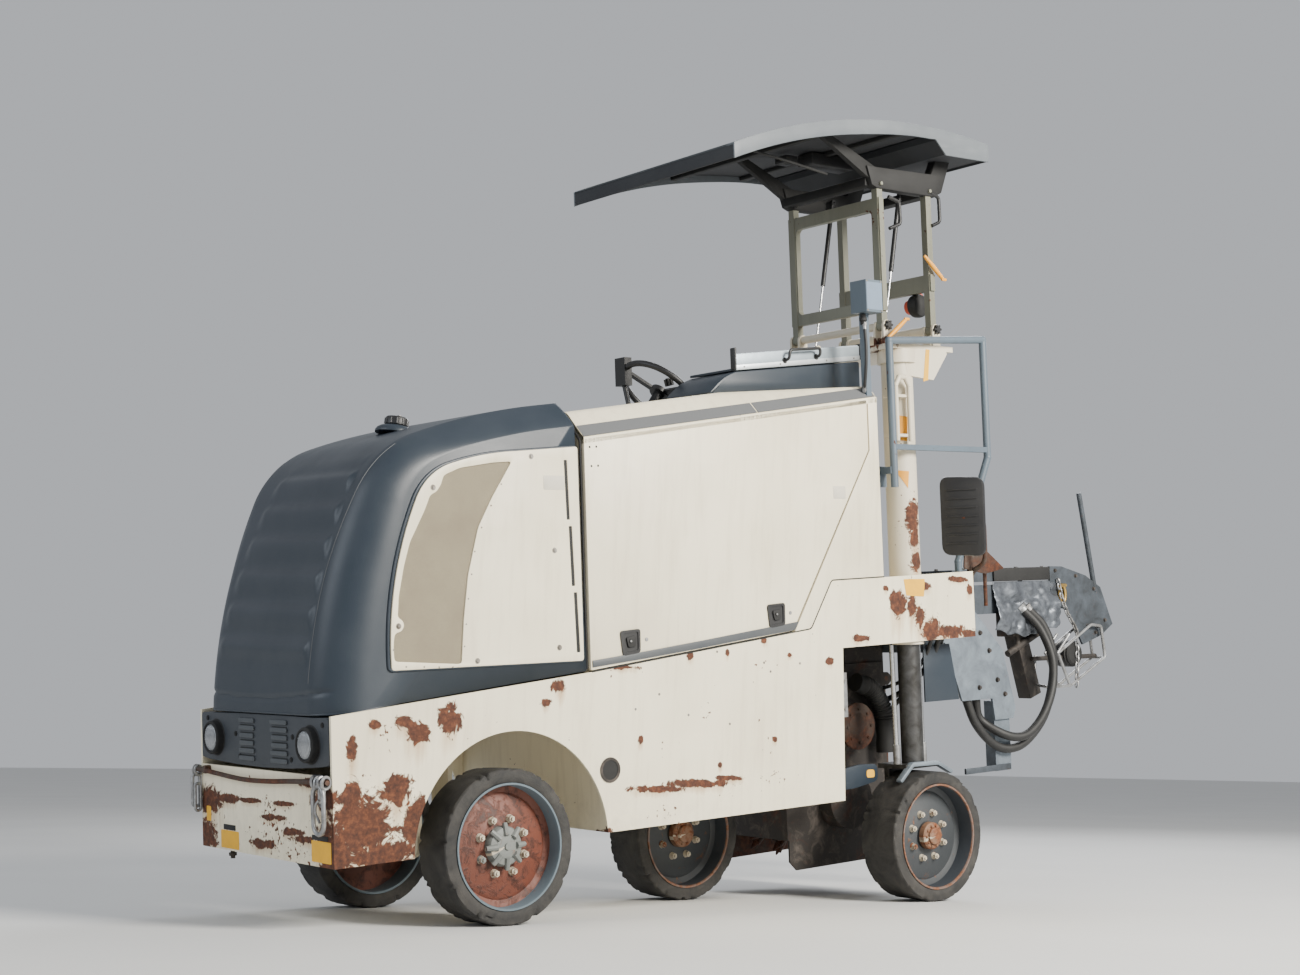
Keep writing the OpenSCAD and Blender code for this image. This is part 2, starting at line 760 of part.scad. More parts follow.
hub_d = 120;
spindle_d = 60;
spindle_l = 24;
module knuckle(s)
    level() union() {
        translate([0, s * kingpin_v, -80]) cylinder(h = 160, d = kingpin_d, $fn = 48);
        for (w = [-80, 55.5])
            span([-40, s * (kingpin_v - 40), w], [40, s * (kingpin_v + 60), w + 24.5]);
        span([-40, s * (kingpin_v + 55), -80], [40, s * (kingpin_v + 75), 80]);
        hub_end = front_track_half + front_tyre_w / 2 - disc_in - fit;
        bar([0, s * (kingpin_v + 70), 0], [0, s * hub_end, 0], hub_d);
        bar([0, s * (hub_end - 1), 0], [0, s * (hub_end + spindle_l), 0], spindle_d);
    }
module knuckle_left() color("dimgray") knuckle(1);
module knuckle_right() color("dimgray") knuckle(-1);

// Tyre and rim about a spin axis along +y, outer face on the +y side
module tyre(width)
    rotate([-90, 0, 0]) translate([0, 0, -width / 2])
        rotate_extrude($fn = 96) difference() {
            translate([tyre_r - rubber, 0]) square([rubber, width]);
            for (z = [0, width])
                translate([tyre_r, z]) difference() {
                    square(2 * shoulder_r, center = true);
                    translate([-shoulder_r, (z == 0 ? 1 : -1) * shoulder_r])
                        circle(r = shoulder_r, $fn = 32);
                }
        }

rim_t = 9;
disc_in = 62;
module rim(width) {
    r = tyre_r - rubber;
    rotate([-90, 0, 0]) difference() {
        union() {
            translate([0, 0, -width / 2]) difference() {
                cylinder(h = width, r = r, $fn = 96);
                translate([0, 0, -1]) cylinder(h = width + 2, r = r - rim_t, $fn = 96);
            }
            translate([0, 0, width / 2 - disc_in]) cylinder(h = 16, r = r - rim_t + 1, $fn = 96);
            translate([0, 0, width / 2 - disc_in]) cylinder(h = 40, d = 120, $fn = 64);
            for (i = [0:studs - 1]) rotate([0, 0, 360 / studs * (i + 0.5)])
                translate([stud_circle / 2, 0, width / 2 - disc_in]) cylinder(h = 36, d = 24, $fn = 24);
        }
        translate([0, 0, width / 2 - disc_in - 1]) cylinder(h = spindle_l + 2,
             d = spindle_d + 2 * fit, $fn = 64);
    }
}

module at_front(s) level() translate([0, s * front_track_half, 0]) rotate([0, 0, s > 0 ? 0 : 180])
    children();
module at_rear_left() chassis() translate([-wheelbase, rear_track_half, rear_left_w]) children();
module at_rear_right() chassis() translate([arm_u, arm_v, rear_right_w]) rotate([0, 0, 0]) children();

module tyre_front_left() color(black) at_front(1) tyre(front_tyre_w);
module rim_front_left() color("sienna") at_front(1) rim(front_tyre_w);
module tyre_front_right() color(black) at_front(-1) tyre(front_tyre_w);
module rim_front_right() color("sienna") at_front(-1) rim(front_tyre_w);
module tyre_rear_left() color(black) at_rear_left() tyre(rear_tyre_w);
module rim_rear_left() color("sienna") at_rear_left() rim(rear_tyre_w);
module tyre_rear_right() color(black) at_rear_right() tyre(rear_tyre_w);
module rim_rear_right() color("sienna") at_rear_right() rim(rear_tyre_w);

// Column: an outer tube in the body, a leg that slides in it
leg_over = 34;
leg_top_w = 1500;
module column_tube(u, v, low, top)
    translate([u, v, low]) difference() {
        cylinder(h = top - low, d = column_d, $fn = 64);
        translate([0, 0, -1]) cylinder(h = top - low - 20, d = leg_d + 2 * fit, $fn = 64);
    }

module column_left()
    color(cream) chassis() column_tube(-wheelbase, column_left_v, box_low_w - 5, column_top_w);

motor_d = 170;
// Wheel bracket from the leg's foot down inside the tyre to the hub
module wheel_bracket(w, in) {
    foot = w + tyre_r + leg_over;
    span([-70, in - 30, w - 90], [70, in, foot]);
    hub_end = in + rear_tyre_w + 12 - disc_in - fit;
    bar([0, in - 40, w], [0, in + 40, w], motor_d);
    bar([0, in, w], [0, hub_end, w], hub_d);
    bar([0, hub_end - 1, w], [0, hub_end + spindle_l, w], spindle_d);
}

module leg_left()
    color("dimgray") chassis() translate([-wheelbase, 0, 0]) union() {
        in = rear_track_half - rear_tyre_w / 2 - 12;
        foot = rear_left_w + tyre_r + leg_over;
        translate([0, column_left_v, foot - 20]) cylinder(h = leg_top_w - foot, d = leg_d, $fn = 64);
        wheel_bracket(rear_left_w, in);
        span([-110, in - 30, foot - 20], [110, column_left_v + 60, foot]);
    }

right_top_w = 1300;
module column_right()
    color(cream) chassis()
        column_tube(-column_right_back, -column_right_v, wheel_bay_w - 12, right_top_w);

arm_gap = 0.5;
arm_t = 70;
right_leg_top_w = 820;
module leg_right()
    color("dimgray") chassis() translate([-column_right_back, -column_right_v, 0]) {
        low = rear_right_w + tyre_r + leg_over + arm_t + arm_gap;
        translate([0, 0, low]) cylinder(h = right_leg_top_w - low, d = leg_d, $fn = 64);
        translate([0, 0, low]) cylinder(h = 12, d = leg_d + 24, $fn = 64);
        translate([0, 0, low - arm_t - arm_gap - 16]) cylinder(h = arm_t + arm_gap + 17, d = 60, $fn = 48);
        translate([0, 0, low - arm_t - arm_gap - 16]) cylinder(h = 10, d = 90, $fn = 48);
    }

module swing_arm()
    color("dimgray") chassis() difference() {
        union() {
            low = rear_right_w + tyre_r + leg_over;
            inner = arm_v - rear_tyre_w / 2 - 12;
            translate([-column_right_back, -column_right_v, low]) {
                cylinder(h = arm_t, d = 120, $fn = 48);
                span([-45, 0, 0], [45, arm_in - 59, arm_t]);
                span([-45, arm_in - 149, 0], [arm_reach + 70, arm_in - 59, arm_t]);
            }
            translate([arm_u, 0, 0]) wheel_bracket(rear_right_w, inner);
        }
        translate([-column_right_back, -column_right_v, -400])
            cylinder(h = 1000, d = 60 + 2 * fit, $fn = 48);
    }

// Milling drum with its picks in spirals, inside a box open below
drum_left_v = drum_width - drum_right_v;
box_clear = 25;
housing_front_u = -drum_back + drum_tip_d / 2 + box_clear + 10;
housing_rear_u = -drum_back - drum_tip_d / 2 - box_clear - 10;
skid_w = -335;
shield_low_edge = 60;
scraper_u = housing_rear_u - 26;
hinge_pin_d = 24;
housing_t = 10;
housing_right_v = drum_right_v + 18 + housing_t;
module housing_side()
    polygon([[housing_front_u, skid_w + 40], [housing_front_u, 540], [housing_rear_u, 540],
             [housing_rear_u, skid_w + 40], [housing_rear_u + 40, skid_w], [housing_front_u - 40, skid_w]]);

module drum_housing()
    color("gray") chassis() difference() {
        union() {
            across(drum_left_v + 12, drum_left_v + 12 + housing_t) housing_side();
            intersection() {
                across(-housing_right_v, housing_t - housing_right_v) housing_side();
                span([-5000, -600, shield_low_edge], [0, 0, 600]);
            }
            for (v = [-housing_right_v, drum_left_v + 12])
                across(v, v + housing_t)
                    translate([scraper_u + 8, 480]) union() {
                        circle(d = 60, $fn = 48);
                        translate([0, -30]) square([50, 60]);
                    }
            span([housing_front_u, -housing_right_v, -200], [housing_front_u + housing_t,
                 drum_left_v + 12 + housing_t, 560]);
            span([housing_front_u + housing_t, -housing_right_v, 540],
                 [housing_rear_u, drum_left_v + 12 + housing_t, 560]);
            span([housing_front_u + housing_t, drum_left_v - 60, 500],
                 [housing_rear_u - 10, drum_left_v + 12, floor_w - 22]);
            bar([-drum_back, drum_left_v + 12, drum_w], [-drum_back, drum_left_v + 100, drum_w], 260);
        }
        bar([-drum_back, drum_left_v - 20, drum_w], [-drum_back, drum_left_v + 60, drum_w], 120 + 2 * fit);
        bar([scraper_u + 8, -600, 480], [scraper_u + 8, 100, 480], hinge_pin_d + 2 * fit);
    }

pick_h = (drum_tip_d - drum_d) / 2;
module pick()
    rotate([0, 62, 0]) {
        translate([0, 0, -22]) cylinder(h = pick_h * 0.62 + 22, d = 42, $fn = 20);
        translate([0, 0, pick_h * 0.62]) cylinder(h = pick_h * 0.55, d1 = 30, d2 = 8, $fn = 20);
    }

module milling_drum()
    color("dimgray") chassis() translate([-drum_back, 0, drum_w]) union() {
        bar([0, -drum_right_v, 0], [0, drum_left_v, 0], drum_d);
        bar([0, drum_left_v - 1, 0], [0, drum_left_v + 55, 0], 120);
        for (s = [0:spirals - 1], i = [0:picks - 1]) {
            v = -drum_right_v + 22 + i * (drum_width - 44) / (picks - 1);
            rotate([0, 360 / spirals * s + i * 34, 0])
                translate([drum_d / 2 - 6, v, 0]) pick();
        }
    }

// Shield that floats up and down at the drum's right end
shield_t = 12;
shield_top_w = 200;
module side_shield()
    color("gray") chassis()
        across(housing_t + 0.5 - housing_right_v, housing_t + 0.5 + shield_t - housing_right_v)
            polygon([[housing_front_u - 15, skid_w + 40], [housing_front_u - 15, shield_top_w],
                     [housing_rear_u + 15, shield_top_w], [housing_rear_u + 15, skid_w + 40],
                     [housing_rear_u + 60, skid_w], [housing_front_u - 60, skid_w]]);

// Scraper that closes the box behind the drum, hinged at its top
module scraper()
    color("gray") chassis() union() {
        span([scraper_u, housing_t + 6 - housing_right_v, skid_w + 20],
             [scraper_u + 16, drum_left_v + 6, 470]);
        bar([scraper_u + 8, housing_t + 6 - housing_right_v, 480],
             [scraper_u + 8, drum_left_v + 6, 480], 36);
        bar([scraper_u + 8, -housing_right_v, 480], [scraper_u + 8, drum_left_v + 12 + housing_t,
             480], hinge_pin_d);
    }

// Foot of the canopy on the column's head
foot_top_w = canopy_foot_w;
lug_t = 12;
post_d = 34;
canopy_us = [-canopy_front_back, -canopy_front_back - canopy_pitch];
canopy_vs = [canopy_left_v, canopy_left_v - canopy_span];
module canopy_base()
    color(cream) chassis() difference() {
        union() {
            translate([-wheelbase, column_left_v, column_top_w]) cylinder(h = 60, d = 170, $fn = 64);
            span([canopy_us[0] + 40, canopy_vs[1] - 40, column_top_w + 60],
                 [canopy_us[1] - 40, half - 10, column_top_w + 84]);
            for (u = canopy_us, v = canopy_vs, s = [-1, 1])
                across(v + s * 26 - lug_t / 2, v + s * 26 + lug_t / 2) {
                    translate([u, canopy_foot_w]) circle(d = 50, $fn = 40);
                    translate([u - 25, column_top_w + 80]) square([50, canopy_foot_w - column_top_w - 80]);
                }
            for (i = [0, 1]) {
                side = i == 0 ? -1 : 1;
                face = strut_v[i] + side * 13;
                across(min(face, face + side * 10), max(face, face + side * 10)) {
                    translate(strut_low) circle(d = 30, $fn = 40);
                    translate([strut_low[0] - 15, column_top_w + 80])
                        square([30, strut_low[1] - column_top_w - 80]);
                }
                bar([strut_low[0], face, strut_low[1]], [strut_low[0],
                     face - side * 26, strut_low[1]], strut_pin_d);
            }
            // gusset plate down the column's rear
            across(column_left_v + 52, half - 10)
                polygon([[aft(24), column_top_w + 62], [aft(6), column_top_w - 58], [aft(-164),
                     column_top_w - 72],
                         [aft(-260), column_top_w + 50], [aft(-256), column_top_w + 62]]);
        }
        for (u = canopy_us)
            bar([u, half + 10, canopy_foot_w], [u, -half, canopy_foot_w], 16 + 2 * fit);
        translate([-wheelbase, column_left_v, column_top_w - 200])
            cylinder(h = 200, d = column_bore, $fn = 64);
    }

// A flat frame of posts and bars between its pivots; rows of bars are [low, high]
module canopy_link(u, bars) {
    for (v = canopy_vs) {
        span([u - post_d / 2, v - post_d / 2, canopy_foot_w + 1],
             [u + post_d / 2, v + post_d / 2, canopy_foot_w + canopy_link - 1]);
        for (w = [0, canopy_link]) {
            bar([u, v - 17, canopy_foot_w + w], [u, v + 17, canopy_foot_w + w], 44);
            bar([u, v - 34, canopy_foot_w + w], [u, v + 34, canopy_foot_w + w], 16);
        }
    }
    along(u - frame_d / 2, u + frame_d / 2) difference() {
        translate([canopy_vs[1] - post_d / 2 - 8, canopy_foot_w + bars[0][0]])
            square([canopy_span + post_d + 16, bars[len(bars) - 1][1] - bars[0][0]]);
        for (i = [1:len(bars) - 1])
            window(canopy_foot_w + bars[i - 1][1], canopy_foot_w + bars[i][0]);
    }
}

// Opening with round corners between the posts
frame_d = 28;
frame_r = 24;
module window(low, high)
    translate([canopy_vs[1] + post_d / 2 + 8, low]) {
        wide = canopy_span - post_d - 16;
        translate([frame_r, 0]) square([wide - 2 * frame_r, high - low]);
        translate([0, frame_r]) square([wide, high - low - 2 * frame_r]);
        for (x = [frame_r, wide - frame_r], y = [frame_r, high - low - frame_r])
            translate([x, y]) circle(r = frame_r, $fn = 32);
    }

module canopy_front_link()
    color("darkkhaki") chassis()
        canopy_link(canopy_us[0], [[68, 118], [canopy_link - 118, canopy_link - 62]]);
module canopy_rear_link()
    color("darkkhaki") chassis()
        canopy_link(canopy_us[1], [[180, 256]]);

// Roof: an arched shell with deep side bands, on a frame of tubes
roof_t = 10;
band_h = 75;
roof_centre = [aft(-100), roof_crown_w - roof_r];
roof_end_back = roof_front_back + roof_l;
module roof_arc(r0, r1)
    intersection() {
        difference() {
            translate(roof_centre) circle(r = r1, $fn = 360);
            translate(roof_centre) circle(r = r0, $fn = 360);
        }
        translate([-roof_end_back, 2400]) square([roof_l, 800]);
    }

roof_foot_w = canopy_foot_w + canopy_link;
module canopy_roof()
    color("slategray") chassis() difference() {
        union() {
            across(-roof_half, roof_half) roof_arc(roof_r - roof_t, roof_r);
            for (s = [-1, 1])
                across(s * roof_half - (s > 0 ? roof_t : 0), s * roof_half + (s > 0 ? 0 : roof_t))
                    roof_arc(roof_r - band_h, roof_r);
            intersection() {
                across(-roof_half, roof_half) roof_arc(roof_r - band_h, roof_r);
                union() {
                    span([-roof_front_back, -roof_half, 2400],
                         [-roof_front_back - roof_t, roof_half, 3200]);
                    span([-roof_end_back, -roof_half, 2400], [-roof_end_back + roof_t, roof_half, 3200]);
                }
            }
            // two rails under the shell, with lugs for the links
            for (v = canopy_vs, s = [-1, 1])
                across(v + s * 26 - lug_t / 2, v + s * 26 + lug_t / 2)
                    intersection() {
                        polygon([[canopy_us[0] + 320, roof_foot_w + 130],
                             [canopy_us[0] + 30, roof_foot_w - 22],
                                 [canopy_us[1] - 30, roof_foot_w - 22],
                                      [canopy_us[1] - 160, roof_foot_w + 180],
                                 [canopy_us[0], roof_foot_w + 260]]);
                        translate(roof_centre) circle(r = roof_r - 2, $fn = 360);
                    }
        }
        for (u = canopy_us)
            bar([u, half + 10, roof_foot_w], [u, -half, roof_foot_w], 16 + 2 * fit);
    }

// Gas struts between the canopy's foot and its roof rails, their rods below
strut_v = [canopy_vs[0] - 50, canopy_vs[1] + 50];
strut_low = [-canopy_front_back - 60, canopy_foot_w - 40];
strut_top = [-canopy_front_back - 210, roof_foot_w + 30];
strut_rise = strut_top - strut_low;
strut_pin_d = 8;
function along_strut(t) = strut_low + t * strut_rise;
module strut_part(t0, t1, d)
    for (v = strut_v)
        bar([along_strut(t0)[0], v, along_strut(t0)[1]], [along_strut(t1)[0], v, along_strut(t1)[1]], d);

module strut_tubes()
    color(black) chassis() difference() {
        union() {
            strut_part(0.43, 1, 22);
            for (v = strut_v)
                bar([strut_top[0], v - 12, strut_top[1]], [strut_top[0], v + 12, strut_top[1]], 26);
        }
        strut_part(0.4, 0.92, 10 + 2 * fit);
        for (v = strut_v)
            bar([strut_top[0], v - 13, strut_top[1]], [strut_top[0], v + 13, strut_top[1]], strut_pin_d);
    }

module strut_rods()
    color(steel) chassis() difference() {
        union() {
            strut_part(0, 0.55, 10);
            for (v = strut_v)
                bar([strut_low[0], v - 12, strut_low[1]], [strut_low[0], v + 12, strut_low[1]], 28);
        }
        for (v = strut_v)
            bar([strut_low[0], v - 13, strut_low[1]], [strut_low[0], v + 13, strut_low[1]],
                strut_pin_d + 2 * fit);
    }

// Tower at the rear that carries the conveyor's bracket
tower_front_u = housing_rear_u - 20;
tower_half = 270;
slew_u = aft(-500);
slew_v = 60;
slew_pin_d = 50;
slew_low_w = 620;
slew_high_w = 820;
slew_ear_h = 40;
cheek_t = 12;
module rear_tower()
    color("gray") chassis() difference() {
        union() {
            span([tower_front_u, -tower_half, slew_low_w - 20],
                 [tower_front_u - 16, tower_half, floor_w - 22]);
            span([tower_front_u, -tower_half, floor_w - 60], [box_end_u, tower_half, floor_w - 22]);
            for (w = [slew_low_w, slew_high_w]) {
                span([tower_front_u, slew_v - 60, w], [slew_u, slew_v + 60, w + slew_ear_h]);
                translate([slew_u, slew_v, w]) cylinder(h = slew_ear_h, d = 120, $fn = 48);
            }
            // galvanised cheek plate with its dark foot
            across(tower_half, tower_half + cheek_t)
                polygon([[tower_front_u, 928], [tower_front_u, 640], [aft(-395), 640], [aft(-500),
                     364], [aft(-710), 364],
                         [aft(-725), 262], [aft(-855), 262], [aft(-875), 310], [aft(-800), 588],
                              [aft(-490), 900], [aft(-480), 928]]);
            span([aft(-730), tower_half - 60, 20], [aft(-840), tower_half, 350]);
        }
        translate([slew_u, slew_v, slew_low_w - 10])
            cylinder(h = 300, d = slew_pin_d + 2 * fit, $fn = 48);
    }

// Bracket that carries the conveyor, slewing about its upright pin
arm_low_w = 760;
bracket_half = 110;
bracket_end_u = aft(-1330);
conveyor_pin_d = 40;
module conveyor_bracket()
    color("silver") chassis() difference() {
        union() {
            translate([slew_u, slew_v, slew_low_w - 20]) cylinder(h = 290, d = slew_pin_d, $fn = 48);
            translate([slew_u, slew_v, slew_low_w + slew_ear_h + 0.5])
                cylinder(h = slew_high_w - slew_low_w - slew_ear_h - 1, d = 110, $fn = 48);
            span([slew_u - 40, slew_v - 45, slew_low_w + slew_ear_h + 6],
                 [slew_u - 110, slew_v + 45, slew_high_w - 6]);
            span([slew_u - 90, slew_v - bracket_half, slew_low_w + slew_ear_h + 20],
                 [slew_u - 110, slew_v + bracket_half, 960]);
            for (s = [-1, 1])
                span([slew_u - 90, slew_v + s * bracket_half, arm_low_w],
                     [bracket_end_u, slew_v + s * (bracket_half - 14), 900]);
            span([slew_u - 90, slew_v - bracket_half, 915], [bracket_end_u - 20,
                 slew_v + bracket_half, 975]);
            for (s = [-1, 1])
                span([slew_u - 90, slew_v + s * bracket_half, 890],
                     [slew_u - 140, slew_v + s * (bracket_half - 14), 930]);
            for (s = [-1, 1])
                span([bracket_end_u, slew_v + s * bracket_half, arm_low_w],
                     [bracket_end_u - 20, slew_v + s * (bracket_half - 14), 975]);
            // light cover plate on the left, with its upright rod
            across(slew_v + bracket_half, slew_v + bracket_half + 12)
                polygon([[aft(-1300), 982], [aft(-1392), 980], [aft(-1581), 931], [aft(-1698),
                     869], [aft(-1785), 678],
                         [aft(-1690), 625], [aft(-1536), 583], [aft(-1432), 760], [aft(-1300), 790]]);
            bar([aft(-1660), slew_v + bracket_half + 6, 850], [aft(-1566),
                 slew_v + bracket_half + 6, 1350], 26);
        }
        bar([bracket_end_u + 60, slew_v - 200, 830], [bracket_end_u + 60, slew_v + 200, 830],
             conveyor_pin_d);
    }

hull();
front_panel();
headlamps();
lashing_bar();
engine_block();
hood();
hood_panel_left();
hood_panel_right();
deck();
left_door();
rear_panel_left();
right_side_panel();
cockpit();
console();
console_lid();
steering_column();
seat();
handrail();
grab_rail();
side_mirror();
junction_box();
front_axle();
knuckle_left();
knuckle_right();
tyre_front_left();
rim_front_left();
tyre_front_right();
rim_front_right();
column_left();
leg_left();
tyre_rear_left();
rim_rear_left();
column_right();
leg_right();
swing_arm();
tyre_rear_right();
rim_rear_right();
drum_housing();
milling_drum();
side_shield();
scraper();
canopy_base();
canopy_front_link();
canopy_rear_link();
canopy_roof();
strut_tubes();
strut_rods();
rear_tower();
conveyor_bracket();
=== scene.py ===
"""Looks of a compact cold planer milling machine: paint, rust, rubber, hoses and small parts on its CAD frame.

Sizes are in millimetres in the machine's own frame unless a name says otherwise:
x forward of the front axle, y to the machine's left, z above the front axle's centre.
"""

import json
import math

import bmesh
import bpy
from mathutils import Matrix, Vector, noise


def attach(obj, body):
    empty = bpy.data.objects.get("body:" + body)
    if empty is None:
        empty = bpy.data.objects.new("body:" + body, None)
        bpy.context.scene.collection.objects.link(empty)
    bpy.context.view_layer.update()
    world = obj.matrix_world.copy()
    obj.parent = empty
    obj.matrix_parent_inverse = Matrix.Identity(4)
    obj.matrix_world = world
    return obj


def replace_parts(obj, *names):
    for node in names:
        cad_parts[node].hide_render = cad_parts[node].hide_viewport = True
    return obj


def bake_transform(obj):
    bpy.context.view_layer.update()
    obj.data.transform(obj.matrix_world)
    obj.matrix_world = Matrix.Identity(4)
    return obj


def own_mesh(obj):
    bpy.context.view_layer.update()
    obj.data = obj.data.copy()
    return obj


bl_info = {
    "name": "Cold planer milling machine",
    "version": (1, 0, 0),
    "blender": (4, 5, 0),
    "location": "View3D > Sidebar > Planer",
    "description": "Dresses the cold planer's frame with paint, rust, rubber and fittings",
    "category": "Object",
}

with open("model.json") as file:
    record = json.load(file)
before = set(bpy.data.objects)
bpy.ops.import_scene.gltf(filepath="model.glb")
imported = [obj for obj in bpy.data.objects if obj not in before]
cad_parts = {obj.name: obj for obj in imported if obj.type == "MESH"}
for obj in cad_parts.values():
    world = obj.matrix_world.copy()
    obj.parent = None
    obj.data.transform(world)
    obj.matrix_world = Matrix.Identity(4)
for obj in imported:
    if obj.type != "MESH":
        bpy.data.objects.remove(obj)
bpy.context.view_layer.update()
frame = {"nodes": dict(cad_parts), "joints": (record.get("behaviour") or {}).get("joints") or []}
MM = 0.001
JOINTS = {j["name"]: j for j in frame["joints"]}
NODES = frame["nodes"]


# Places


def placed(origin, along, up):
    """Matrix from millimetres in a local frame to metres in the row frame."""
    z = Vector(up).normalized()
    x = Vector(along).normalized()
    y = z.cross(x).normalized()
    x = y.cross(z)
    turn = Matrix((x, y, z)).transposed().to_4x4()
    turn.translation = Vector(origin)
    return turn @ Matrix.Scale(MM, 4)


def across_axle(joint, up, outward=1):
    """Wheel frame: y along the axle and away from the vehicle, z up."""
    y = Vector(JOINTS[joint]["axis"]).normalized() * outward
    z = Vector(up).normalized()
    return placed(JOINTS[joint]["pos_m"], y.cross(z), z)


SIDEWAYS = Matrix.Rotation(math.radians(-90), 4, "X")  # lays an upright axis across the machine
CHASSIS_UP = -Vector(JOINTS["column_left_slide"]["axis"])
LEVEL_UP = Vector(JOINTS["steer_left"]["axis"])
CHASSIS = placed(JOINTS["front_axle_swing"]["pos_m"], JOINTS["front_axle_swing"]["axis"], CHASSIS_UP)


def spot(u, v, w):
    """A point of the machine's frame, in metres of the row frame."""
    return CHASSIS @ Vector((u, v, w))


# Materials


class Wire:
    """A socket of a material's nodes that can be added, scaled and compared like a number."""

    def __init__(self, tree, socket):
        self.tree, self.socket = tree, socket

    def _sum(self, operation, first, second=None, clamp=False):
        node = self.tree.nodes.new("ShaderNodeMath")
        node.operation, node.use_clamp = operation, clamp
        for place, value in zip(node.inputs, (first, second)):
            if isinstance(value, Wire):
                self.tree.links.new(value.socket, place)
            elif value is not None:
                place.default_value = value
        return Wire(self.tree, node.outputs[0])

    def __add__(self, other):
        return self._sum("ADD", self, other)

    __radd__ = __add__

    def __sub__(self, other):
        return self._sum("SUBTRACT", self, other)

    def __rsub__(self, other):
        return self._sum("SUBTRACT", other, self)

    def __mul__(self, other):
        return self._sum("MULTIPLY", self, other)

    __rmul__ = __mul__

    def __truediv__(self, other):
        return self._sum("DIVIDE", self, other)

    def over(self, other):
        return self._sum("MAXIMUM", self, other)

    def under(self, other):
        return self._sum("MINIMUM", self, other)

    def clamp(self):
        return self._sum("ADD", self, 0.0, clamp=True)

    def step(self, low, high):
        """0 below low, 1 above high."""
        return ((self - low) / (high - low)).clamp()

    def wave(self):
        return self._sum("SINE", self)


class Finish:
    """A material whose nodes are added one by one through node()."""

    def __init__(self, name, rough=0.5, metal=0.0):
        self.material = bpy.data.materials.new(name)
        self.material.use_nodes = True
        self.tree = self.material.node_tree
        self.shader = self.tree.nodes["Principled BSDF"]
        self.shader.inputs["Roughness"].default_value = rough
        self.shader.inputs["Metallic"].default_value = metal
        self.place = self.node("ShaderNodeTexCoord", out="Object")

    def node(self, kind, settings=None, links=None, out=0):
        node = self.tree.nodes.new(kind)
        for key, value in (settings or {}).items():
            if key == "stops":
                ramp = node.color_ramp
                while len(ramp.elements) < len(value):
                    ramp.elements.new(0.5)
                for element, (at, colour) in zip(ramp.elements, value):
                    element.position = at
                    element.color = (*colour, 1.0)
            else:
                setattr(node, key, value)
        for key, value in (links or {}).items():
            if isinstance(value, Wire):
                self.tree.links.new(value.socket, node.inputs[key])
            else:
                node.inputs[key].default_value = value
        return Wire(self.tree, node.outputs[out])

    def stretch(self, by):
        return self.node("ShaderNodeMapping", links={0: self.place, 3: by})

    def noise(self, size, detail=4.0, rough=0.55, where=None, warp=0.0):
        """Cloudy pattern; size is the width of its clouds in metres."""
        return self.node(
            "ShaderNodeTexNoise",
            links={
                "Vector": where or self.place, "Scale": 1.0 / size, "Detail": detail, "Roughness": rough,
                "Distortion": warp
            },
        )

    def cells(self, size):
        return self.node("ShaderNodeTexVoronoi", {"feature": "F1"}, {"Vector": self.place, "Scale": 1.0 / size})

    def ramp(self, wire, *stops):
        return self.node("ShaderNodeValToRGB", {"stops": stops}, {"Fac": wire})

    def mix(self, by, first, second):
        colour = lambda c: (*c, 1.0) if isinstance(c, tuple) else c
        return self.node(
            "ShaderNodeMix", {"data_type": "RGBA"}, {0: by, 6: colour(first), 7: colour(second)}, out=2
        )

    def part(self, axis):
        """One coordinate of the place."""
        return self.node("ShaderNodeSeparateXYZ", links={0: self.place}, out="XYZ".index(axis))

    def near(self, point, reach):
        """1 at a point of the row frame, 0 at its reach (three half sizes in metres), negative beyond."""
        off = self.node("ShaderNodeVectorMath", {"operation": "SUBTRACT"}, {0: self.place, 1: tuple(point)})
        scaled = self.node(
            "ShaderNodeVectorMath", {"operation": "MULTIPLY"}, {0: off, 1: tuple(1.0 / r for r in reach)}
        )
        return 1.0 - self.node("ShaderNodeVectorMath", {"operation": "LENGTH"}, {0: scaled}, out=1)

    def paint(self, colour=None, rough=None, metal=None, height=None, depth=0.001):
        for key, value in (("Base Color", colour), ("Roughness", rough), ("Metallic", metal)):
            if isinstance(value, Wire):
                self.tree.links.new(value.socket, self.shader.inputs[key])
            elif value is not None:
                self.shader.inputs[key].default_value = (*value, 1.0) if isinstance(value, tuple) else value
        if height is not None:
            bump = self.node("ShaderNodeBump", links={"Height": height, "Distance": depth, "Strength": 1.0})
            self.tree.links.new(bump.socket, self.shader.inputs["Normal"])
        return self.material


PATCH_GROWTH, HALO_GROWTH, PATCH_DEPTH = 0.0013, 0.0022, 0.12  # metres for a millimetre of a rust spot, and metres


def rust_colour(finish):
    grain = finish.noise(0.02, 8, 0.7)
    return finish.ramp(
        grain, (0.3, (0.026, 0.010, 0.007)), (0.5, (0.078, 0.025, 0.011)), (0.72, (0.19, 0.062, 0.024))
    )


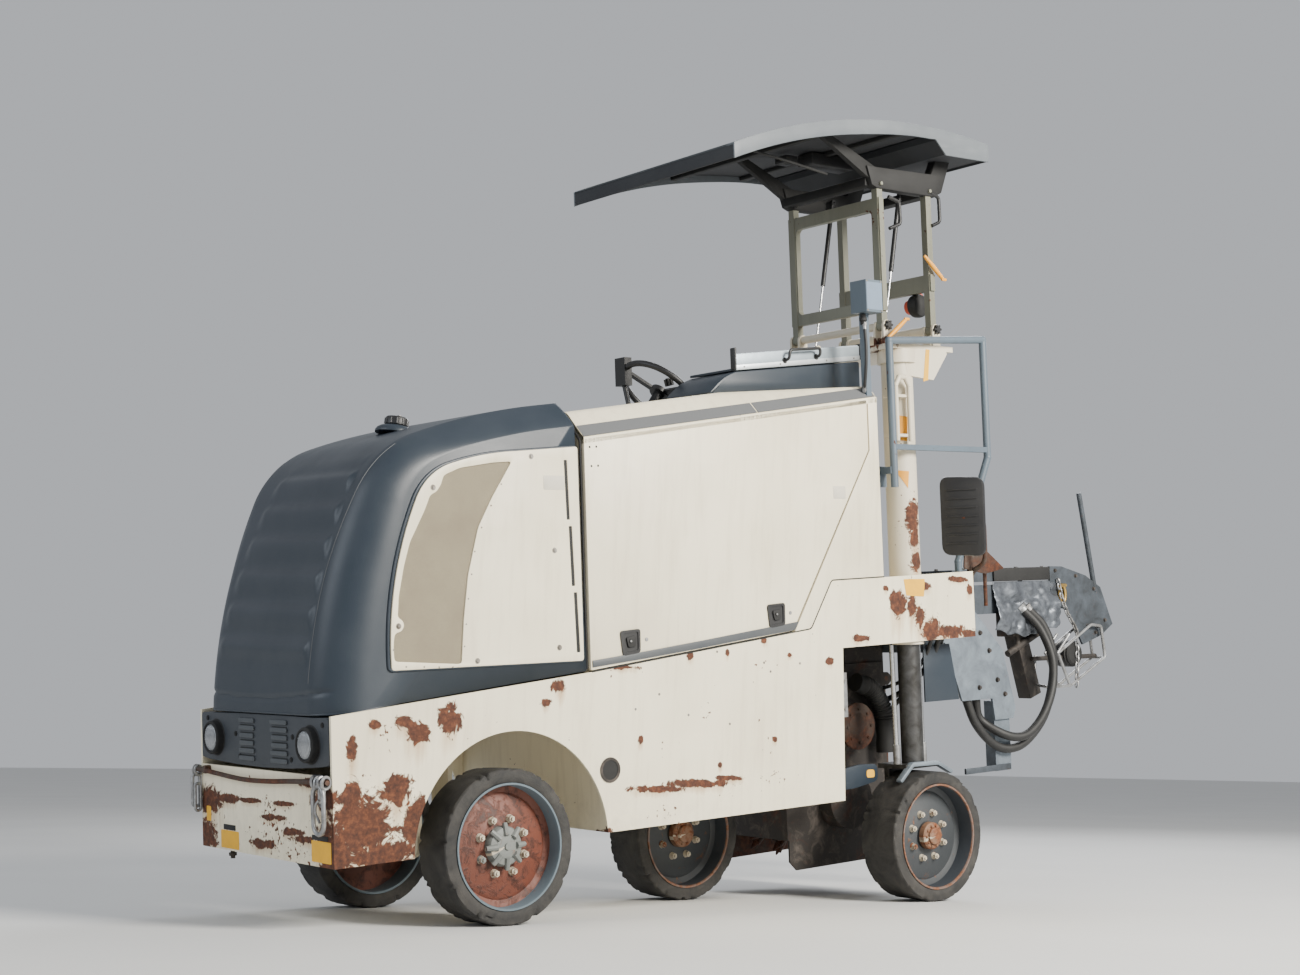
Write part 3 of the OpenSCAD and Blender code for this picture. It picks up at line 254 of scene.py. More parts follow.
def rusted_paint(name, colour, soiled, rust_spots=(), chips=0.0, drips=0.5, rough=0.42, low=None, battered=None):
    """Paint with clouds of dirt, small chips and patches of rust at the given spots."""
    f = Finish(name, rough)
    broad = f.noise(0.45, 3, 0.5)
    fine = f.noise(0.05, 6, 0.65, warp=0.4)
    ragged = f.noise(0.06, 8, 0.72, warp=0.8)
    run = f.noise(0.035, 5, 0.6, where=f.stretch((1.0, 1.0, 0.09)))
    dirt = (broad.step(0.42, 0.75) * 0.35 + run.step(0.5, 0.8) * 0.3).clamp()
    base = f.mix(dirt, colour, soiled)
    if low is not None:
        height = f.part("Z")
        splash = ((low - height) * 1.6 + fine * 0.9 - 0.45).clamp() * 0.6
        base = f.mix(splash, base, tuple(c * 0.42 for c in soiled))
    mask = None
    for u, v, w, ru, rw in rust_spots:
        reach = (ru * PATCH_GROWTH, PATCH_DEPTH, rw * PATCH_GROWTH)
        patch = (f.near(spot(u, v, w), reach) + (ragged - 0.5) * 2.6).step(0.12, 0.26)
        mask = patch if mask is None else mask.over(patch)
    if chips:
        flakes = f.noise(0.018, 3, 0.5, warp=0.3) * 0.6 + f.noise(0.16, 2, 0.5) * 0.4
        if battered:
            flakes = flakes + f.near(*battered).step(0.0, 0.5) * 0.07
        flake = flakes.step(0.69 - 0.05 * chips, 0.71 - 0.05 * chips)
        mask = flake if mask is None else mask.over(flake)
    if mask is None:
        return f.paint(base, rough=0.34 + fine * 0.2, height=fine * 0.25 + broad * 0.5, depth=0.0006)
    halo = None
    if rust_spots:
        for u, v, w, ru, rw in rust_spots:
            reach = (ru * PATCH_GROWTH, PATCH_DEPTH, rw * HALO_GROWTH)
            glow = (f.near(spot(u, v, w - rw * 0.9), reach) + (run - 0.5) * 1.6).step(0.1, 0.9)
            halo = glow if halo is None else halo.over(glow)
        base = f.mix(halo * drips, base, (0.42, 0.24, 0.10))
    shade = f.mix(mask, base, rust_colour(f))
    return f.paint(
        shade, rough=(0.36 + fine * 0.16) + mask * 0.4, height=mask * (ragged * 1.4 - 0.5) + fine * 0.12, depth=0.0012
    )


def moulded(name, colour, dusty, rough=0.5, grain=0.0008):
    f = Finish(name, rough)
    cloud, fine = f.noise(0.3, 4, 0.6), f.noise(0.004, 3, 0.6)
    scuff = f.noise(0.09, 6, 0.7, where=f.stretch((0.3, 1.0, 1.0)), warp=0.6)
    dust = (cloud.step(0.4, 0.75) * 0.45 + scuff.step(0.62, 0.72) * 0.3).clamp()
    return f.paint(f.mix(dust, colour, dusty), rough=rough - 0.06 + scuff * 0.16, height=fine, depth=grain)


def bare_metal(name, colour, dark, rough=0.4, metal=0.85, size=0.06, rust=0.0):
    f = Finish(name, rough, metal)
    cloud, scratch = f.noise(size, 7, 0.65, warp=0.5), f.noise(0.01, 5, 0.6, where=f.stretch((1.0, 0.12, 1.0)))
    shade = f.mix(cloud.step(0.35, 0.7), colour, dark)
    if rust:
        spots = f.noise(0.05, 8, 0.75, warp=1.0).step(0.66 - 0.16 * rust, 0.74 - 0.16 * rust)
        shade = f.mix(spots, shade, rust_colour(f))
        return f.paint(
            shade, rough=rough + cloud * 0.2 + spots * 0.3, metal=metal * (1 - spots), height=spots * 0.5 + cloud,
            depth=0.0008
        )
    return f.paint(shade, rough=rough - 0.1 + cloud * 0.3, height=scratch + cloud, depth=0.0004)


def greasy_iron(name, colour=(0.035, 0.03, 0.027), rusty=0.35):
    f = Finish(name, 0.6, 0.35)
    cloud, fine = f.noise(0.09, 8, 0.7, warp=0.7), f.noise(0.012, 6, 0.7)
    shade = f.mix(cloud.step(0.5, 0.72), colour, (0.12, 0.10, 0.085))
    patch = f.noise(0.14, 7, 0.7, warp=0.5).step(0.62 - 0.2 * rusty, 0.8 - 0.2 * rusty)
    shade = f.mix(patch, shade, rust_colour(f))
    return f.paint(shade, rough=0.45 + cloud * 0.4, height=fine + cloud, depth=0.0014)


def tyre_rubber():
    f = Finish("solid_rubber", 0.75)
    cloud, fine = f.noise(0.12, 6, 0.7, warp=0.6), f.noise(0.006, 5, 0.7)
    shade = f.mix(cloud.step(0.38, 0.7), (0.014, 0.014, 0.014), (0.055, 0.051, 0.046))
    return f.paint(shade, rough=0.62 + cloud * 0.3, height=fine + cloud * 2.0, depth=0.0012)


def rim_paint(name, colour, rust, share):
    f = Finish(name, 0.5)
    cloud, fine = f.noise(0.05, 7, 0.7, warp=0.8), f.noise(0.015, 5, 0.6)
    patch = cloud.step(0.75 - share * 0.6, 0.85 - share * 0.6)
    shade = f.mix(patch, colour, f.mix(fine.step(0.35, 0.7), rust, tuple(c * 0.35 for c in rust)))
    return f.paint(shade, rough=0.4 + cloud * 0.35, height=fine + patch, depth=0.0008)


def window_mesh():
    """Beige wire cloth behind the side windows."""
    f = Finish("beige_wire_cloth", 0.6)
    x, z = f.part("X"), f.part("Z")
    wires = (x * 2100.0).wave() * (z * 2100.0).wave()
    cloud = f.noise(0.15, 4, 0.6)
    shade = f.mix(wires.step(-0.5, 0.9), (0.21, 0.175, 0.115), (0.42, 0.37, 0.26))
    return f.paint(
        f.mix(cloud.step(0.4, 0.8) * 0.4, shade, (0.16, 0.13, 0.09)), rough=0.7, height=wires, depth=0.0005
    )


def plain(name, colour, rough=0.5, metal=0.0, wear=0.35):
    f = Finish(name, rough, metal)
    cloud = f.noise(0.04, 5, 0.6)
    return f.paint(
        f.mix(cloud.step(0.4, 0.8) * wear, colour, tuple(c * 0.55 + 0.03 for c in colour)),
        rough=rough - 0.05 + cloud * 0.15, height=cloud, depth=0.0004
    )


def lamp_glass():
    f = Finish("ribbed_lamp_glass", 0.08)
    rib = (f.part("Y") * 900.0).wave()
    f.shader.inputs["Coat Weight"].default_value = 0.6
    # the light and dark stripes that follow the ribs are painted highlights and painted shade
    return f.paint(
        f.mix(rib.step(-0.6, 0.8), (0.16, 0.17, 0.18), (0.46, 0.48, 0.50)), rough=0.1, metal=0.35, height=rib,
        depth=0.0015
    )


SIDE_RUST = (
    (570, 500, 150, 120, 90), (440, 500, 262, 70, 48), (612, 500, 250, 36, 60), (500, 500, 40, 150, 46),
    (360, 500, 150, 46, 80), (206, 500, 484, 46, 50), (341, 500, 452, 44, 40), (398, 500, 492, 34, 24),
    (513, 500, 494, 22, 16), (606, 500, 412, 20, 40), (-283, 500, 582, 30, 26), (-215, 500, 520, 22, 14),
    (-570, 500, 636, 80, 9), (-923, 500, 660, 16, 14), (-1120, 500, 664, 12, 16), (-1322, 500, 704, 16, 12),
    (-1362, 500, 300, 14, 10), (-660, 500, 352, 12, 16), (-720, 500, 158, 130, 13), (-930, 500, 160, 160, 15),
    (-1110, 500, 166, 80, 10), (-1060, 500, 222, 10, 10), (-1693, 500, 604, 22, 14), (-1464, 500, 640, 14, 9),
    (-430, 500, 24, 70, 18), (-2118, 500, 830, 48, 54), (-2214, 500, 815, 30, 50), (-2262, 500, 770, 34, 50),
    (-2330, 500, 716, 66, 46), (-2450, 500, 694, 110, 30), (-2580, 500, 684, 70, 20), (-2050, 500, 900, 16, 12),
    (-1880, 500, 694, 60, 14), (-2300, 500, 905, 36, 16), (-2520, 500, 930, 60, 12), (-2590, 500, 880, 22, 22),
)
FRONT_RUST = (
    (685, 470, 60, 90, 110), (685, 452, 250, 60, 36), (685, 300, 100, 60, 12), (685, -430, 190, 60, 50),
    (685, -300, 205, 60, 16), (685, -100, 210, 60, 9), (685, 60, 160, 60, 10), (685, 140, 214, 60, 8),
    (685, -470, 60, 60, 60), (685, 360, 300, 60, 14), (685, -20, 60, 60, 14), (685, 210, 120, 60, 12),
)

FINISHES = {}


def build_finishes(colours):
    cream, soiled, made = tuple(colours.cream), tuple(colours.soiled), FINISHES
    made["body"] = rusted_paint(
        "rusted_cream_paint", cream, soiled, SIDE_RUST + FRONT_RUST, chips=0.55, drips=0.6, low=0.42,
        battered=(spot(690, 0, 150), (0.35, 0.72, 0.26))
    )
    made["cream"] = rusted_paint("cream_paint", cream, soiled, chips=0.0)
    made["worn_cream"] = rusted_paint(
        "worn_cream_paint", (0.66, 0.60, 0.48), soiled,
        (
            (-2260, 490, 1230, 40, 60), (-2260, 490, 1120, 30, 50), (-2260, 490, 1010, 30, 40),
            (-2200, 400, 1990, 40, 30)
        ),
        chips=0.6
    )
    made["hood"] = moulded("slate_moulding", tuple(colours.slate), (0.040, 0.050, 0.062), 0.40, 0.0004)
    made["slate"] = moulded("slate_paint", (0.028, 0.034, 0.042), (0.07, 0.076, 0.084), 0.5)
    made["slate_bar"] = moulded("slate_bars", (0.05, 0.058, 0.066), (0.10, 0.105, 0.11), 0.5)
    made["dark_rail"] = moulded("dark_rail", (0.060, 0.068, 0.076), (0.12, 0.12, 0.115), 0.45)
    made["grey"] = rusted_paint("grey_paint", (0.10, 0.12, 0.14), (0.06, 0.06, 0.06), chips=0.8, rough=0.5)
    made["rail"] = rusted_paint("blue_grey_paint", (0.105, 0.14, 0.175), (0.07, 0.08, 0.09), chips=0.5, rough=0.45)
    made["black"] = moulded("black_paint", (0.010, 0.010, 0.011), (0.045, 0.045, 0.045), 0.42)
    made["matt_black"] = moulded("matt_black", (0.006, 0.006, 0.006), (0.03, 0.03, 0.03), 0.7)
    made["roof"] = moulded("grey_laminate", (0.115, 0.13, 0.145), (0.20, 0.215, 0.23), 0.5, 0.0003)
    # darker copy of the grey laminate for the roof's shell: painted shade
    made["dark_roof"] = moulded("shaded_laminate", (0.030, 0.036, 0.042), (0.07, 0.08, 0.085), 0.6)
    made["olive"] = rusted_paint("olive_grey_paint", (0.20, 0.20, 0.155), (0.09, 0.085, 0.06), chips=0.9, rough=0.55)
    made["iron"] = greasy_iron("greasy_iron", rusty=0.2)
    made["rusty_iron"] = greasy_iron("rusty_iron", (0.06, 0.04, 0.03), 1.0)
    made["steel"] = bare_metal("worn_steel", (0.42, 0.43, 0.44), (0.16, 0.15, 0.14), 0.38, 0.85, rust=0.25)
    made["rod"] = bare_metal("bright_rod", (0.62, 0.63, 0.64), (0.42, 0.42, 0.42), 0.2, 0.95)
    made["leg"] = bare_metal("greased_leg", (0.10, 0.10, 0.10), (0.03, 0.028, 0.025), 0.35, 0.7)
    made["zinc"] = bare_metal("galvanised_plate", (0.22, 0.26, 0.30), (0.11, 0.13, 0.155), 0.5, 0.45, 0.12, rust=0.12)
    made["zinc_dark"] = bare_metal("dark_plate", (0.085, 0.10, 0.12), (0.035, 0.04, 0.045), 0.5, 0.45, 0.1, rust=0.2)
    made["alu"] = bare_metal("aluminium_lid", (0.46, 0.53, 0.58), (0.30, 0.35, 0.39), 0.42, 0.6, 0.2)
    made["rubber"] = tyre_rubber()
    made["hose"] = plain("black_hose", (0.012, 0.012, 0.012), 0.55)
    made["front_rim"] = rim_paint("rust_red_rim", (0.14, 0.040, 0.022), (0.085, 0.025, 0.014), 0.45)
    made["barrel"] = rim_paint("blue_grey_barrel", (0.10, 0.135, 0.16), (0.22, 0.09, 0.04), 0.18)
    made["rear_rim"] = rim_paint("dark_grey_rim", (0.045, 0.05, 0.055), (0.20, 0.08, 0.035), 0.25)
    made["hub"] = rim_paint("rusty_hub", (0.22, 0.12, 0.07), (0.24, 0.08, 0.03), 0.5)
    made["stud"] = rim_paint("cream_stud", (0.50, 0.44, 0.34), (0.30, 0.12, 0.05), 0.35)
    made["star"] = rim_paint("grey_star", (0.17, 0.18, 0.17), (0.24, 0.10, 0.05), 0.25)
    made["dark_barrel"] = rim_paint("dark_barrel", (0.028, 0.034, 0.042), (0.13, 0.055, 0.03), 0.2)
    made["copper"] = rim_paint("copper_ring", (0.16, 0.11, 0.09), (0.24, 0.10, 0.05), 0.5)
    made["mesh"] = window_mesh()
    made["glass"] = lamp_glass()
    made["band"] = plain("grey_band", (0.125, 0.13, 0.135), 0.62, 0.0, 0.15)
    made["screw"] = bare_metal("small_screws", (0.30, 0.29, 0.27), (0.12, 0.10, 0.08), 0.4, 0.8, rust=0.35)
    made["sign"] = plain("blank_sign", (0.62, 0.58, 0.48), 0.5, 0.0, 0.3)
    made["worn_yellow"] = plain("worn_yellow_mark", (0.80, 0.42, 0.012), 0.6, 0.0, 0.3)
    made["worn_orange"] = plain("worn_orange_mark", (0.78, 0.34, 0.02), 0.6, 0.0, 0.3)
    made["alu_light"] = bare_metal("light_aluminium", (0.62, 0.66, 0.69), (0.44, 0.47, 0.49), 0.4, 0.6, 0.2)
    made["brass"] = bare_metal("brass", (0.52, 0.36, 0.12), (0.24, 0.15, 0.05), 0.35, 0.85, rust=0.1)
    made["foil"] = bare_metal("crumpled_sheet", (0.20, 0.22, 0.25), (0.055, 0.06, 0.07), 0.38, 0.7)
    # very dark colour of the roof's liner, also used on the roof's lips as painted shade
    made["roof_liner"] = moulded("roof_liner", (0.020, 0.022, 0.026), (0.04, 0.042, 0.046), 0.7)
    made["box_lid"] = plain("box_lid", (0.17, 0.23, 0.31), 0.45)
    made["leather"] = leather("seat_leather", (0.014, 0.014, 0.015))
    made["orange"] = plain("orange_lever", (0.85, 0.36, 0.02), 0.4)
    made["red"] = plain("red_cap", (0.50, 0.06, 0.02), 0.45)
    made["mirror"] = plain("mirror_glass", (0.045, 0.05, 0.055), 0.06, 0.9, 0.1)


CAD_FINISH = {
    "hull": "body", "front_panel": "slate", "headlamps": "glass", "lashing_bar": "steel", "engine_block": "iron",
    "hood": "hood", "hood_panel_left": "cream", "hood_panel_right": "cream", "deck": "cream", "left_door": "cream",
    "rear_panel_left": "cream", "right_side_panel": "cream", "cockpit": "grey", "console": "hood",
    "console_lid": "alu", "steering_column": "black", "seat": "matt_black", "handrail": "rail",
    "grab_rail": "worn_cream", "side_mirror": "black", "junction_box": "rail", "front_axle": "iron",
    "knuckle_left": "iron", "knuckle_right": "iron", "tyre_front_left": "rubber", "tyre_front_right": "rubber",
    "tyre_rear_left": "rubber", "tyre_rear_right": "rubber", "rim_front_left": "front_rim",
    "rim_front_right": "front_rim", "rim_rear_left": "rear_rim", "rim_rear_right": "rear_rim",
    "column_left": "worn_cream", "leg_left": "leg", "column_right": "worn_cream", "leg_right": "leg",
    "swing_arm": "iron", "drum_housing": "iron", "milling_drum": "rusty_iron", "side_shield": "rusty_iron",
    "scraper": "rusty_iron", "canopy_base": "worn_cream", "canopy_front_link": "olive", "canopy_rear_link": "olive",
    "canopy_roof": "roof", "strut_tubes": "black", "strut_rods": "rod", "rear_tower": "zinc",
    "conveyor_bracket": "zinc_dark"
}


# Finishes grouped by the record's material slot
SLOT_FINISHES = {
    "cream_paint": "cream worn_cream mesh worn_yellow worn_orange sign",
    "slate_moulding": "hood band slate",
    "black_paint": "black matt_black red orange",
    "steel": "steel screw iron rod zinc brass foil",
    "rust": "rusty_iron",
    "rail_paint": "dark_rail slate_bar box_lid zinc_dark",
    "alu": "alu alu_light",
    "grp": "roof roof_liner dark_roof",
    "lamp_glass": "mirror glass",
    "seat": "leather",
    "tyre": "rubber",
}
SLOT_OF = {finish: slot for slot, names in SLOT_FINISHES.items() for finish in names.split()}


def finish_mesh(bm, name, finish, body="chassis", slot=None, smooth=30, place=None):
    """Turns a bmesh in millimetres into a piece that rides on a body; smooth is its sharp edges' angle."""
    slot = slot or SLOT_OF.get(finish)
    bmesh.ops.recalc_face_normals(bm, faces=bm.faces)
    bm.transform(CHASSIS if place is None else place)
    mesh = bpy.data.meshes.new(name)
    bm.to_mesh(mesh)
    bm.free()
    piece = bpy.data.objects.new(name, mesh)
    bpy.context.scene.collection.objects.link(piece)
    for material in finish if isinstance(finish, (list, tuple)) else [finish]:
        mesh.materials.append(FINISHES[material])
    if smooth:
        mesh.shade_smooth()
        mesh.set_sharp_from_angle(angle=math.radians(smooth))
    if body:
        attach(piece, body)
    return piece


def block(bm, low, high, bevel=0.0):
    """A box between two corners with rounded edges."""
    low, high = Vector(low), Vector(high)
    size = high - low
    made = bmesh.ops.create_cube(
        bm, size=1.0, matrix=Matrix.Translation((low + high) / 2) @ Matrix.Diagonal((*size, 1.0))
    )
    if bevel:
        edges = list({e for v in made["verts"] for e in v.link_edges})
        made = bmesh.ops.bevel(
            bm, geom=edges, offset=min(bevel, min(abs(s) for s in size) * 0.45), segments=2, profile=0.5,
            affect="EDGES", material=-1,
        )
    return made["verts"]


def turns(count):
    """Angles of a full circle."""
    return [math.tau * k / count for k in range(count)]


def oblong(x0, y0, x1, y1, corner, steps):
    """A flat rectangle with rounded corners."""
    return soften([(x0, y0), (x1, y0), (x1, y1), (x0, y1)], corner, steps)


def turned(start, end):
    """Frame with z from start to end, at start."""
    run = Vector(end) - Vector(start)
    return Matrix.Translation(start) @ run.to_track_quat("Z", "Y").to_matrix().to_4x4(), run.length


def rod(bm, start, end, radius, sides=20, tip=None):
    """A round bar between two points; tip is the radius at its end."""
    matrix, length = turned(start, end)
    made = bmesh.ops.create_cone(
        bm, cap_ends=True, segments=sides, radius1=radius, radius2=radius if tip is None else tip, depth=length,
        matrix=matrix @ Matrix.Translation((0, 0, length / 2)),
    )
    return made["verts"]


def lathe(bm, outline, place=None, sides=48, closed=True):
    """Spins (radius, height) points about the local z."""
    verts = [bm.verts.new((r, 0, z)) for r, z in outline]
    edges = [bm.edges.new(pair) for pair in zip(verts, verts[1:])]
    if closed:
        edges.append(bm.edges.new((verts[-1], verts[0])))
    made = bmesh.ops.spin(
        bm, geom=verts + edges, cent=(0, 0, 0), axis=(0, 0, 1), dvec=(0, 0, 0), angle=math.tau, steps=sides,
        use_merge=True
    )
    new = {v for e in made["geom_last"] if isinstance(e, bmesh.types.BMVert) for v in [e]} | set(verts)
    island, queue = set(new), list(new)
    while queue:
        for e in queue.pop().link_edges:
            for v in e.verts:
                if v not in island:
                    island.add(v)
                    queue.append(v)
    bmesh.ops.remove_doubles(bm, verts=list(island), dist=0.001)
    island = [v for v in island if v.is_valid]
    if place is not None:
        bmesh.ops.transform(bm, matrix=place, verts=island)
    return island


def plate(bm, outline, thick, place=None, bevel=0.0):
    """A flat outline of (x, y) points, thickened along z."""
    face = bm.faces.new([bm.verts.new((x, y, 0)) for x, y in outline])
    made = bmesh.ops.extrude_face_region(bm, geom=[face])
    top = [g for g in made["geom"] if isinstance(g, bmesh.types.BMVert)]
    bmesh.ops.translate(bm, vec=(0, 0, thick), verts=top)
    verts = list(face.verts) + top
    if bevel:
        edges = list({e for v in verts for e in v.link_edges if e.is_manifold and e.calc_face_angle(0) > 0.6})
        made = bmesh.ops.bevel(bm, geom=edges, offset=bevel, segments=2, profile=0.5, affect="EDGES", material=-1)
        verts = list(
            {
                v for v in bm.verts if v.is_valid and any(f in v.link_faces for f in made["faces"])
            } | {v for v in verts if v.is_valid}
        )
    if place is not None:
        bmesh.ops.transform(bm, matrix=place, verts=[v for v in verts if v.is_valid])
    return verts


def side_plate(bm, outline, v0, v1, bevel=0.0):
    """A flat outline of (u, w) points, from v0 to v1 across the machine."""
    return plate(bm, outline, v1 - v0, on_side(v0), bevel)


def front_plate(bm, outline, u0, u1, bevel=0.0):
    """A flat outline of (v, w) points, from u0 to u1 along the machine."""
    turn = Matrix.Translation((u0, 0, 0)) @ Matrix(((0, 0, 1, 0), (1, 0, 0, 0), (0, 1, 0, 0), (0, 0, 0, 1)))
    return plate(bm, outline, u1 - u0, turn, bevel)


def smooth_path(points, steps=8):
    """Catmull-Rom points through the given ones."""
    pts = [Vector(p) for p in points]
    pts = [pts[0] * 2 - pts[1], *pts, pts[-1] * 2 - pts[-2]]
    out = []
    for a, b, c, d in zip(pts, pts[1:], pts[2:], pts[3:]):
        for i in range(steps):
            t = i / steps
            out.append(
                0.5 * ((2 * b) + (c - a) * t + (2 * a - 5 * b + 4 * c - d) * t * t + (3 * b - a - 3 * c + d) * t ** 3)
            )
    out.append(pts[-2])
    return out


def pipe(bm, points, radius, sides=12, swell=None, closed=False):
    """A round tube through points, its ends filled; swell gives each point's share of the radius."""
    curve = bpy.data.curves.new("pipe", "CURVE")
    curve.dimensions, curve.bevel_depth, curve.bevel_resolution = "3D", radius, max(0, (sides - 4) // 2)
    curve.use_fill_caps = not closed
    line = curve.splines.new("POLY")
    line.points.add(len(points) - 1)
    line.use_cyclic_u = closed
    for point, place, share in zip(line.points, points, swell or [1.0] * len(points)):
        point.co, point.radius = (*place, 1.0), share
    holder = bpy.data.objects.new("pipe", curve)
    mesh = bpy.data.meshes.new_from_object(holder)
    before = set(bm.verts)
    bm.from_mesh(mesh)
    verts = [v for v in bm.verts if v not in before]
    bmesh.ops.remove_doubles(bm, verts=verts, dist=0.01)
    bpy.data.objects.remove(holder)
    bpy.data.curves.remove(curve)
    bpy.data.meshes.remove(mesh)
    return [v for v in verts if v.is_valid]


def bent(points, radius, steps=5):
    """Points of a tube with round bends of one radius at its corners."""
    pts = [Vector(p) for p in points]
    out = [pts[0]]
    for a, b, c in zip(pts, pts[1:], pts[2:]):
        reach = min(radius, (b - a).length * 0.49, (c - b).length * 0.49)
        start, end = b + (a - b).normalized() * reach, b + (c - b).normalized() * reach
        for i in range(steps + 1):
            t = i / steps
            out.append(start.lerp(b, t).lerp(b.lerp(end, t), t))
    out.append(pts[-1])
    return out


def soften(outline, radius, steps=3):
    """A closed flat outline with its corners rounded."""
    ring = [Vector(p) for p in outline]
    out = []
    for i, b in enumerate(ring):
        a, c = ring[i - 1], ring[(i + 1) % len(ring)]
        reach = min(radius, (b - a).length * 0.45, (c - b).length * 0.45)
        start, end = b + (a - b).normalized() * reach, b + (c - b).normalized() * reach
        out += [tuple(start.lerp(b, i / steps).lerp(b.lerp(end, i / steps), i / steps)) for i in range(steps + 1)]
    return out


def arc_path(start, heading, rows):
    """Flat points along arcs; a row gives an arc's run, its turn in degrees and its number of steps."""
    at, out = Vector(start), [tuple(start)]
    for run, turn, count in rows:
        step = run / count * (
            math.sin(math.radians(turn / 2 / count)) / math.radians(turn / 2 / count) if turn else 1.0
        )
        for k in range(count):
            way = math.radians(heading + turn * (k + 0.5) / count)
            at = at + Vector((math.cos(way), math.sin(way))) * step
            out.append(tuple(at))
        heading += turn
    return out


def pierced(bm, outline, holes, thick, place):
    """A flat plate with holes, thickened along z and then put in its place."""
    edges = []
    for ring in (outline, *holes):
        verts = [bm.verts.new((x, y, 0)) for x, y in ring]
        edges += [bm.edges.new(pair) for pair in zip(verts, verts[1:] + verts[:1])]
    made = bmesh.ops.triangle_fill(bm, use_beauty=True, use_dissolve=False, edges=edges)
    faces = [g for g in made["geom"] if isinstance(g, bmesh.types.BMFace)]
    base = {v for f in faces for v in f.verts}
    made = bmesh.ops.extrude_face_region(bm, geom=faces)
    top = [g for g in made["geom"] if isinstance(g, bmesh.types.BMVert)]
    bmesh.ops.translate(bm, vec=(0, 0, thick), verts=top)
    bmesh.ops.transform(bm, matrix=place, verts=list(base) + top)
    return top


def on_side(v):
    """Matrix that lays a flat (u, w) drawing on the side at v."""
    return Matrix.Translation((0, v, 0)) @ Matrix(((1, 0, 0, 0), (0, 0, 1, 0), (0, 1, 0, 0), (0, 0, 0, 1)))


def loft(bm, rings):
    """Skin through rings of as many points each, closed at both ends."""
    loops = []
    for ring in rings:
        verts = [bm.verts.new(p) for p in ring]
        loops.append([bm.edges.new(pair) for pair in zip(verts, verts[1:] + verts[:1])])
        if len(loops) in (1, len(rings)):
            bm.faces.new(verts)
    for first, second in zip(loops, loops[1:]):
        bmesh.ops.bridge_loops(bm, edges=first + second)


def stadium(centre, half, radius):
    """Closed path of a long ring that hangs in the cross plane: centre, half of its straight run, radius."""
    u, v, w = centre
    out, steps = [], 8
    for k in range(2 * steps + 2):
        side = 1 if k <= steps else -1
        a = math.pi * (k if side > 0 else k - 1) / steps
        out.append((u, v + radius * math.cos(a), w + side * half + radius * math.sin(a)))
    return out


def knob(bm, at, way, radius, depth, lobes=6):
    """A star grip: a hub with lobes round it."""
    matrix, _ = turned(at, Vector(at) + Vector(way))
    hub = bmesh.ops.create_cone(
        bm, cap_ends=True, segments=24, radius1=radius * 0.72, radius2=radius * 0.6, depth=depth,
        matrix=matrix @ Matrix.Translation((0, 0, depth / 2))
    )
    for a in turns(lobes):
        out = matrix @ Vector((math.cos(a) * radius * 0.78, math.sin(a) * radius * 0.78, 0))
        rod(bm, out, out + (matrix.to_3x3() @ Vector((0, 0, depth * 0.9))), radius * 0.26, 10)
    return hub


def chain(bm, points, wire=4.0, link=26.0):
    """Links hanging along a line, each turned against the last."""
    line = smooth_path(points, 24)
    run, at = 0.0, line[0]
    places = [line[0].copy()]
    for p in line[1:]:
        run += (p - at).length
        at = p
        if run >= link * 0.72:
            places.append(p.copy())
            run = 0.0
    for k, (a, b) in enumerate(zip(places, places[1:])):
        matrix, length = turned(a, b)
        half, wide = length / 2 + wire * 0.8, link * 0.3
        ring = []
        for i in range(16):
            t = math.tau * i / 16
            ring.append(
                matrix @ Matrix.Rotation(math.radians(90 * (k % 2)), 4, "Z") @ Vector(
                    (math.cos(t) * wide, 0, length / 2 + math.sin(t) * half)
                )
            )
        pipe(bm, ring, wire, 6, closed=True)


def hose(name, points, radius, body, count=34):
    """A hose or cable along a smooth route in the machine's frame."""
    route = smooth_path(points, 10)
    lengths = [0.0]
    for a, b in zip(route, route[1:]):
        lengths.append(lengths[-1] + (b - a).length)
    even, k = [], 0
    for i in range(count):
        target = lengths[-1] * i / (count - 1)
        while k < len(route) - 2 and lengths[k + 1] < target:
            k += 1
        span = lengths[k + 1] - lengths[k]
        even.append(CHASSIS @ route[k].lerp(route[k + 1], (target - lengths[k]) / span if span else 0.0))
    curve = bpy.data.curves.new(name, "CURVE")
    curve.dimensions, curve.bevel_depth, curve.bevel_resolution, curve.use_fill_caps = "3D", radius * MM, 3, True
    line = curve.splines.new("POLY")
    line.points.add(count - 1)
    for point, place in zip(line.points, even):
        point.co = (*place, 1.0)
    curve.materials.append(FINISHES["hose"])
    piece = bpy.data.objects.new(name, curve)
    bpy.context.scene.collection.objects.link(piece)
    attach(piece, body)
    length = sum((b - a).length for a, b in zip(even, even[1:]))


def clamp(bm, at, way, radius):
    """A hose's hexagon fitting with its collar."""
    start = Vector(at)
    step, length = Vector(way).normalized(), 14.0
    rod(bm, start, start + step * length, radius * 1.45, 6)
    rod(bm, start + step * length, start + step * (length * 2.2), radius * 1.15, 14)


def bolt(bm, at, way, across=16.0, high=7.0):
    """A hexagon head with its washer."""
    matrix, _ = turned(at, Vector(at) + Vector(way))
    rod(bm, at, Vector(at) + Vector(way).normalized() * 2.0, across * 0.72, 16)
    bmesh.ops.create_cone(
        bm, cap_ends=True, segments=6, radius1=across * 0.58, radius2=across * 0.54, depth=high,
        matrix=matrix @ Matrix.Translation((0, 0, high / 2 + 1.5)),
    )


# Hood, deck, sides and nose


HOOD_ARCS = ((800.0, 22.0), (330.0, 47.0), (560.0, 11.0))
HOOD_RUN = 1790.0
SEAM = -425.0  # where the hood meets the deck
HOOD_WALL = 8.0
HOOD_LIP = (695.0, 537.0, 93.0)  # place and heading of the hood's middle line at its lip
HOOD_END = -418.0


def ease(value, low=0.0, high=1.0):
    t = min(1.0, max(0.0, (value - low) / (high - low)))
    return t * t * (3 - 2 * t)


